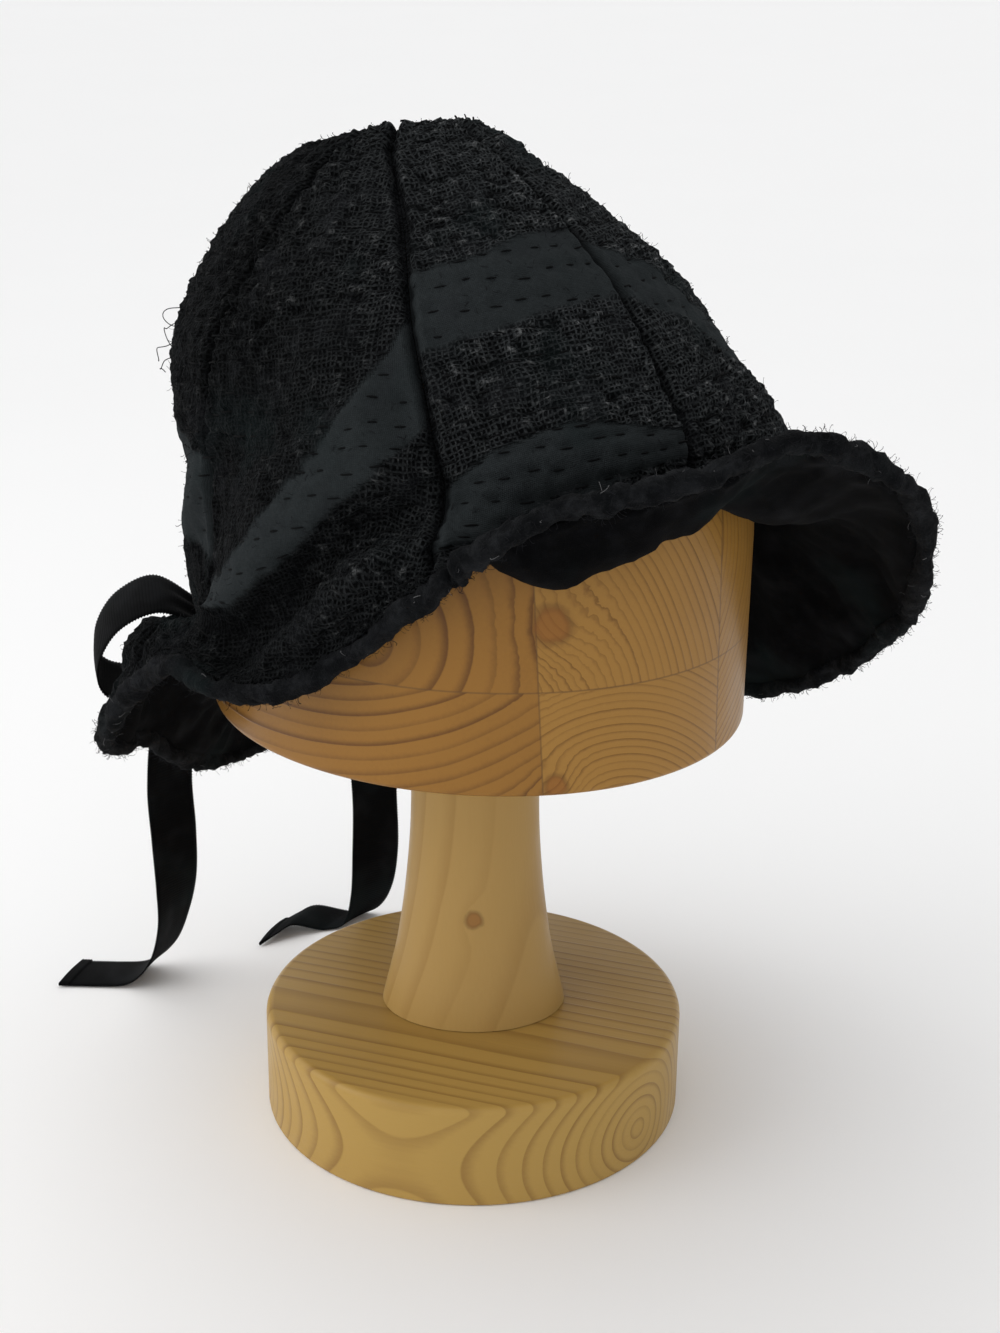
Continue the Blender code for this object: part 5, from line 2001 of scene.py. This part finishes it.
@dataclass
class Bow:
    """The grosgrain ribbon: a knot at the nape, two loops and two tails."""

    width: float = 0.021
    thickness: float = 0.0007
    rib_pitch: float = 0.0012
    rib_height: float = 0.00022
    scallop: float = 0.00045
    knot_radius: float = 0.0080
    knot_half_height: float = 0.0120
    loop_length: float = 0.046
    loop_height: float = 0.0375
    loop_turn: float = 50.0
    loop_tilt: float = 25.0
    tail_spread: float = 0.075
    piece_gap: float = 0.0003
    hem: float = 0.0045
    pleat_depth: float = 0.0022
    cup_depth: float = 0.0006
    lowest: float = 0.0009
    across_steps: int = 11

    def strip(
        self, name: str, centres: np.ndarray, widths: np.ndarray, pleats: np.ndarray, hem: float = 0.0
    ) -> tuple[bpy.types.Mesh, float]:
        """A ribbed ribbon along a line.

        Args:
            name: the mesh's name.
            centres: points along its middle.
            widths: vectors across it there, of its drawn-in width.
            pleats: how much of the full width is folded away at each point, from 0 to 1.
            hem: how much of its end is turned over double.

        Returns:
            The mesh and the ribbon's length.
        """
        run = np.concatenate([[0.0], np.cumsum(np.linalg.norm(np.diff(centres, axis=0), axis=-1))])
        stations = int(run[-1] / self.rib_pitch * 3.0) + 1
        at = np.linspace(0.0, run[-1], stations)
        middle = np.stack([np.interp(at, run, centres[:, k]) for k in range(3)], -1)
        width = np.stack([np.interp(at, run, widths[:, k]) for k in range(3)], -1)
        pleat = np.interp(at, run, pleats)
        along = unit(np.gradient(middle, axis=0))
        normal = unit(np.cross(width, along))
        share = np.linspace(-0.5, 0.5, self.across_steps + 1)
        ribs = 0.5 + 0.5 * np.cos(2.0 * math.pi * at / self.rib_pitch)
        edge = step_up(np.abs(share), 0.40, 0.5)
        scallops = self.scallop / self.width * 2.0 * (ribs[:, None] - 0.5)
        reach = share[None, :] * (1.0 + edge[None, :] * scallops)
        wave = np.cos(share[None, :] * 2.0 * math.pi * 2.5) * pleat[:, None] * self.pleat_depth
        cup = self.cup_depth * np.cos(math.pi * share)[None, :]
        centre = middle[:, None] + width[:, None] * reach[..., None]
        centre = centre + normal[:, None] * (wave + cup)[..., None]
        half = 0.5 * self.thickness - self.rib_height * (1.0 - ribs)[:, None] * np.ones_like(share)
        outer = centre + normal[:, None] * half[..., None]
        if hem:
            turned = step_up(at, run[-1] - hem, run[-1] - hem + 0.0004)
            outer = outer + normal[:, None] * (turned * self.thickness)[:, None, None]
        inner = centre - normal[:, None] * half[..., None]
        mesh = wall_mesh(name, outer, inner, closed=False)
        down, across = np.broadcast_arrays(at[:, None], share[None, :] * self.width)
        put_uv(mesh, across, down)
        return mesh, float(run[-1])

    def loop(self, side: Side, place: np.ndarray, finish: Material) -> None:
        """A bow loop in an upright plane, leaning out from the knot.

        Args:
            side: the side that it lies on.
            place: the knot's middle.
            finish: the ribbon's finish.
        """
        out = heading(np.array([180.0 - side.value * self.loop_turn]))[0]
        across = np.array((-out[1] * side.value, out[0] * side.value, 0.0))
        tilt = math.radians(self.loop_tilt)
        width = (across * math.cos(tilt) + np.array((0.0, 0.0, math.sin(tilt)))) * self.width
        start = place + out * (self.knot_radius + self.piece_gap)
        rise = np.array((0.0, 0.0, self.loop_height))
        points = start + LOOP_ROUTE[:, :1] * out * self.loop_length + LOOP_ROUTE[:, 1:2] * rise
        at = np.linspace(0.0, 1.0, 200)
        share = through(LOOP_ROUTE[:, 2:], at)
        name = f"bow_loop_{side.name.lower()}"
        mesh, length = self.strip(name, through(points, at), width * share, (1.0 - share[:, 0]) / 0.55)
        made = piece(name, mesh, finish, Slot.RIBBON, f"loop_{side.name.lower()}")

    def tail(self, side: Side, place: np.ndarray, finish: Material) -> None:
        """A tail from the knot down to the surface that the stand rests on.

        Args:
            side: the side that it falls on.
            place: the knot's middle.
            finish: the ribbon's finish.
        """
        route = TAIL_ROUTES[side]
        floor = self.lowest
        points = place + route[:, :3] * self.tail_spread
        points[:, 2] = floor + route[:, 2] * (place[2] - floor)
        angle = np.radians(route[:, 3])
        widths = np.stack([np.cos(angle), np.sin(angle), np.zeros_like(angle)], -1)
        widths *= route[:, 4:5] * self.width
        at = np.linspace(0.0, 1.0, 260)
        centres = through(points, at)
        centres[:, 2] = np.maximum(centres[:, 2], floor)
        share = through(route[:, 4:5], at)[:, 0]
        name = f"bow_tail_{side.name.lower()}"
        pleats = np.clip((1.0 - share) / 0.7, 0.0, 1.0)
        mesh, length = self.strip(name, centres, through(widths, at), pleats, hem=self.hem)
        made = piece(name, mesh, finish, Slot.RIBBON, f"tail_{side.name.lower()}")

    def knot(self, place: np.ndarray, finish: Material) -> None:
        """The knot: ribbon wound round and drawn tight, creased across.

        Args:
            place: the knot's middle.
            finish: the ribbon's finish.
        """
        heights = np.linspace(-1.0, 1.0, 40)
        angle = full_turn(64)
        body = (1.0 - np.abs(heights) ** 5) ** 0.5 * 0.25 + 0.75
        body = np.where(np.abs(heights) > 0.999, 0.6, body)
        folds = 0.05 * np.sin(heights[:, None] * 9.0 + 1.5 * np.sin(angle)[None, :])
        cosine, sine = np.cos(angle)[None], np.sin(angle)[None]
        cosine, sine, rise = np.broadcast_arrays(cosine, sine, heights[:, None])
        folds = folds + 0.04 * SolidNoise(41).at(np.stack([cosine * 2, sine * 2, rise * 3], -1))
        radius = self.knot_radius * (body[:, None] * 0.96 + folds)
        rings = place + np.stack([radius * cosine, radius * sine, self.knot_half_height * rise], -1)
        mesh = tube_mesh("ribbon_knot", rings, closed=False)
        down = heights[:, None] * self.knot_half_height
        put_uv(mesh, down, angle[None, :] * self.knot_radius, faces=1)
        piece("ribbon_knot", mesh, finish, Slot.RIBBON, "knot")

    def build(self, finish: Material) -> None:
        """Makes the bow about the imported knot."""
        low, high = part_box("knot")
        place = 0.5 * (np.array(low) + np.array(high))
        self.knot(place, finish)
        for side in Side:
            self.loop(side, place, finish)
            self.tail(side, place, finish)


# ---- the studio ----


@dataclass(frozen=True)
class Studio:
    """The camera where the photograph's stood, soft lights and a plain pale floor."""

    standing_at: tuple = (-0.4640, -0.3496, 0.3656)
    heading: float = 53.0
    yaw: float = 0.014
    pitch: float = 0.334
    roll: float = 0.013
    lens: float = 48.61
    window_power: float = 3.6
    window_side: tuple = (-0.30, 0.72, 0.62)
    bright: float = 1.25
    dim: float = 0.18
    floor_flat_radius: float = 2.5
    floor_reach: float = 60.0
    floor_rise: float = 0.16

    def camera(self) -> None:
        """Adds the camera and makes it the scene's."""
        level = math.cos(self.pitch)
        flat = (math.sin(self.yaw) * level, math.cos(self.yaw) * level)
        ahead = np.array((*flat, -math.sin(self.pitch)))
        right = np.array((math.cos(self.yaw), -math.sin(self.yaw), 0.0))
        up = np.cross(right, ahead)
        cosine, sine = math.cos(self.roll), math.sin(self.roll)
        right, up = cosine * right + sine * up, cosine * up - sine * right
        frame = Matrix((right, up, -ahead)).transposed()
        turned = Matrix.Rotation(math.radians(-self.heading), 3, "Z") @ frame
        data = bpy.data.cameras.new("camera")
        data.lens = self.lens
        data.sensor_width = 36.0
        data.clip_start = 0.01
        made = in_scene("camera", data)
        made.matrix_world = Matrix.Translation(self.standing_at) @ turned.to_4x4()
        bpy.context.scene.camera = made

    @staticmethod
    def light(name: str, place: tuple, aim: tuple, size: float, power: float, colour: tuple) -> None:
        """Adds a square light.

        Args:
            name: its name.
            place: where it hangs.
            aim: what it points at.
            size: its side.
            power: its power in watts.
            colour: its colour.
        """
        data = bpy.data.lights.new(name, "AREA")
        data.size = size
        data.energy = power
        data.color = colour
        made = in_scene(name, data)
        made.location = place
        made.rotation_euler = (Vector(aim) - Vector(place)).to_track_quat("-Z", "Y").to_euler()

    def floor_mesh(self) -> bpy.types.Mesh:
        """A flat floor that sweeps up gently far from the stand, like a paper backdrop."""
        sides = 64
        angle = full_turn(sides)
        flat = self.floor_flat_radius
        radii = np.concatenate([[0.5 * flat], np.geomspace(flat, self.floor_reach, 24)])
        beyond = np.maximum(radii - flat, 0.0)
        heights = self.floor_rise * beyond ** 2 / (beyond + flat)
        ring = np.stack([np.cos(angle), np.sin(angle)], -1)
        points = np.zeros((len(radii), sides, 3))
        points[..., :2] = ring[None] * radii[:, None, None]
        points[..., 2] = heights[:, None]
        number = np.arange(len(radii) * sides).reshape(len(radii), sides)
        after = np.roll(number, -1, 1)
        skin = quads(number[:-1], number[1:], after[1:], after[:-1])
        return mesh_of("floor", points, [skin, number[:1]])

    def build(self) -> None:
        """Adds the camera, the lights, the room's light and the floor."""
        self.camera()
        middle = (0.0, 0.0, 0.2)
        self.light("window", (-0.95, 0.75, 0.75), middle, 0.9, self.window_power, (1.0, 0.99, 0.97))
        world = bpy.data.worlds.new("room")
        world.use_nodes = True
        sketch = Sketch(world.node_tree)
        towards = sketch.add("ShaderNodeTexCoord").outputs["Generated"]
        share = sketch.dot(towards, self.window_side)
        inputs = {"Value": share, "From Min": -1.0, "To Min": self.dim, "To Max": self.bright}
        strength = sketch.add("ShaderNodeMapRange", inputs).outputs[0]
        background = world.node_tree.nodes["Background"]
        background.inputs[0].default_value = (1.0, 1.0, 1.0, 1.0)
        sketch.feed(background.inputs[1], strength)
        bpy.context.scene.world = world
        bpy.context.scene.view_settings.view_transform = "Standard"
        material, sketch, shader = shader_of("pale floor")
        place = sketch.in_space()
        greys = ((0.950, 0.950, 0.952, 1.0), (0.965, 0.965, 0.967, 1.0))
        sketch.feed(shader.inputs["Base Color"], sketch.mix(sketch.noise(place, 3.0), *greys))
        shader.inputs["Roughness"].default_value = 0.8
        floor = in_scene("floor", self.floor_mesh())
        floor.data.materials.append(material)


def main() -> None:
    """Builds the studio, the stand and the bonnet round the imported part."""
    logging.basicConfig(level=logging.INFO, format="%(message)s")
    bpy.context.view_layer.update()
    Studio().build()
    HatStand().build()
    grid = ClothGrid(BonnetForm())
    thread = ThreadFinish("black sewing thread", (0.0050, 0.0055, 0.0060, 1.0)).make()
    gores = Crown(grid).build(GauzeFinish().make(), thread)
    lining = CottonFinish(
        "black cotton lining",
        colour=(0.0008, 0.0009, 0.0011, 1.0),
        faded_and_painted_light=(0.0026, 0.0028, 0.0034, 1.0),
        fuzz_depth=0.0002,
        lint=0.004,
        sheen=0.003,
    )
    edge = CottonFinish(
        "black frayed cotton",
        colour=(0.0036, 0.0041, 0.0048, 1.0),
        faded_and_painted_light=(0.0145, 0.0155, 0.0172, 1.0),
        fuzz_depth=0.0014,
        lint=0.09,
        sheen=0.012,
    )
    roll = Brim(grid).build(lining.make(), edge.make())
    dark = ThreadFinish("black cotton fibre", (0.0150, 0.0158, 0.0180, 1.0)).make()
    pale = ThreadFinish("pale lint", (0.20, 0.20, 0.205, 1.0)).make()
    Fraying(grid).build(roll, gores, dark, pale)
    Bow().build(RibbonFinish().make())


if __name__ == "__main__":
    main()
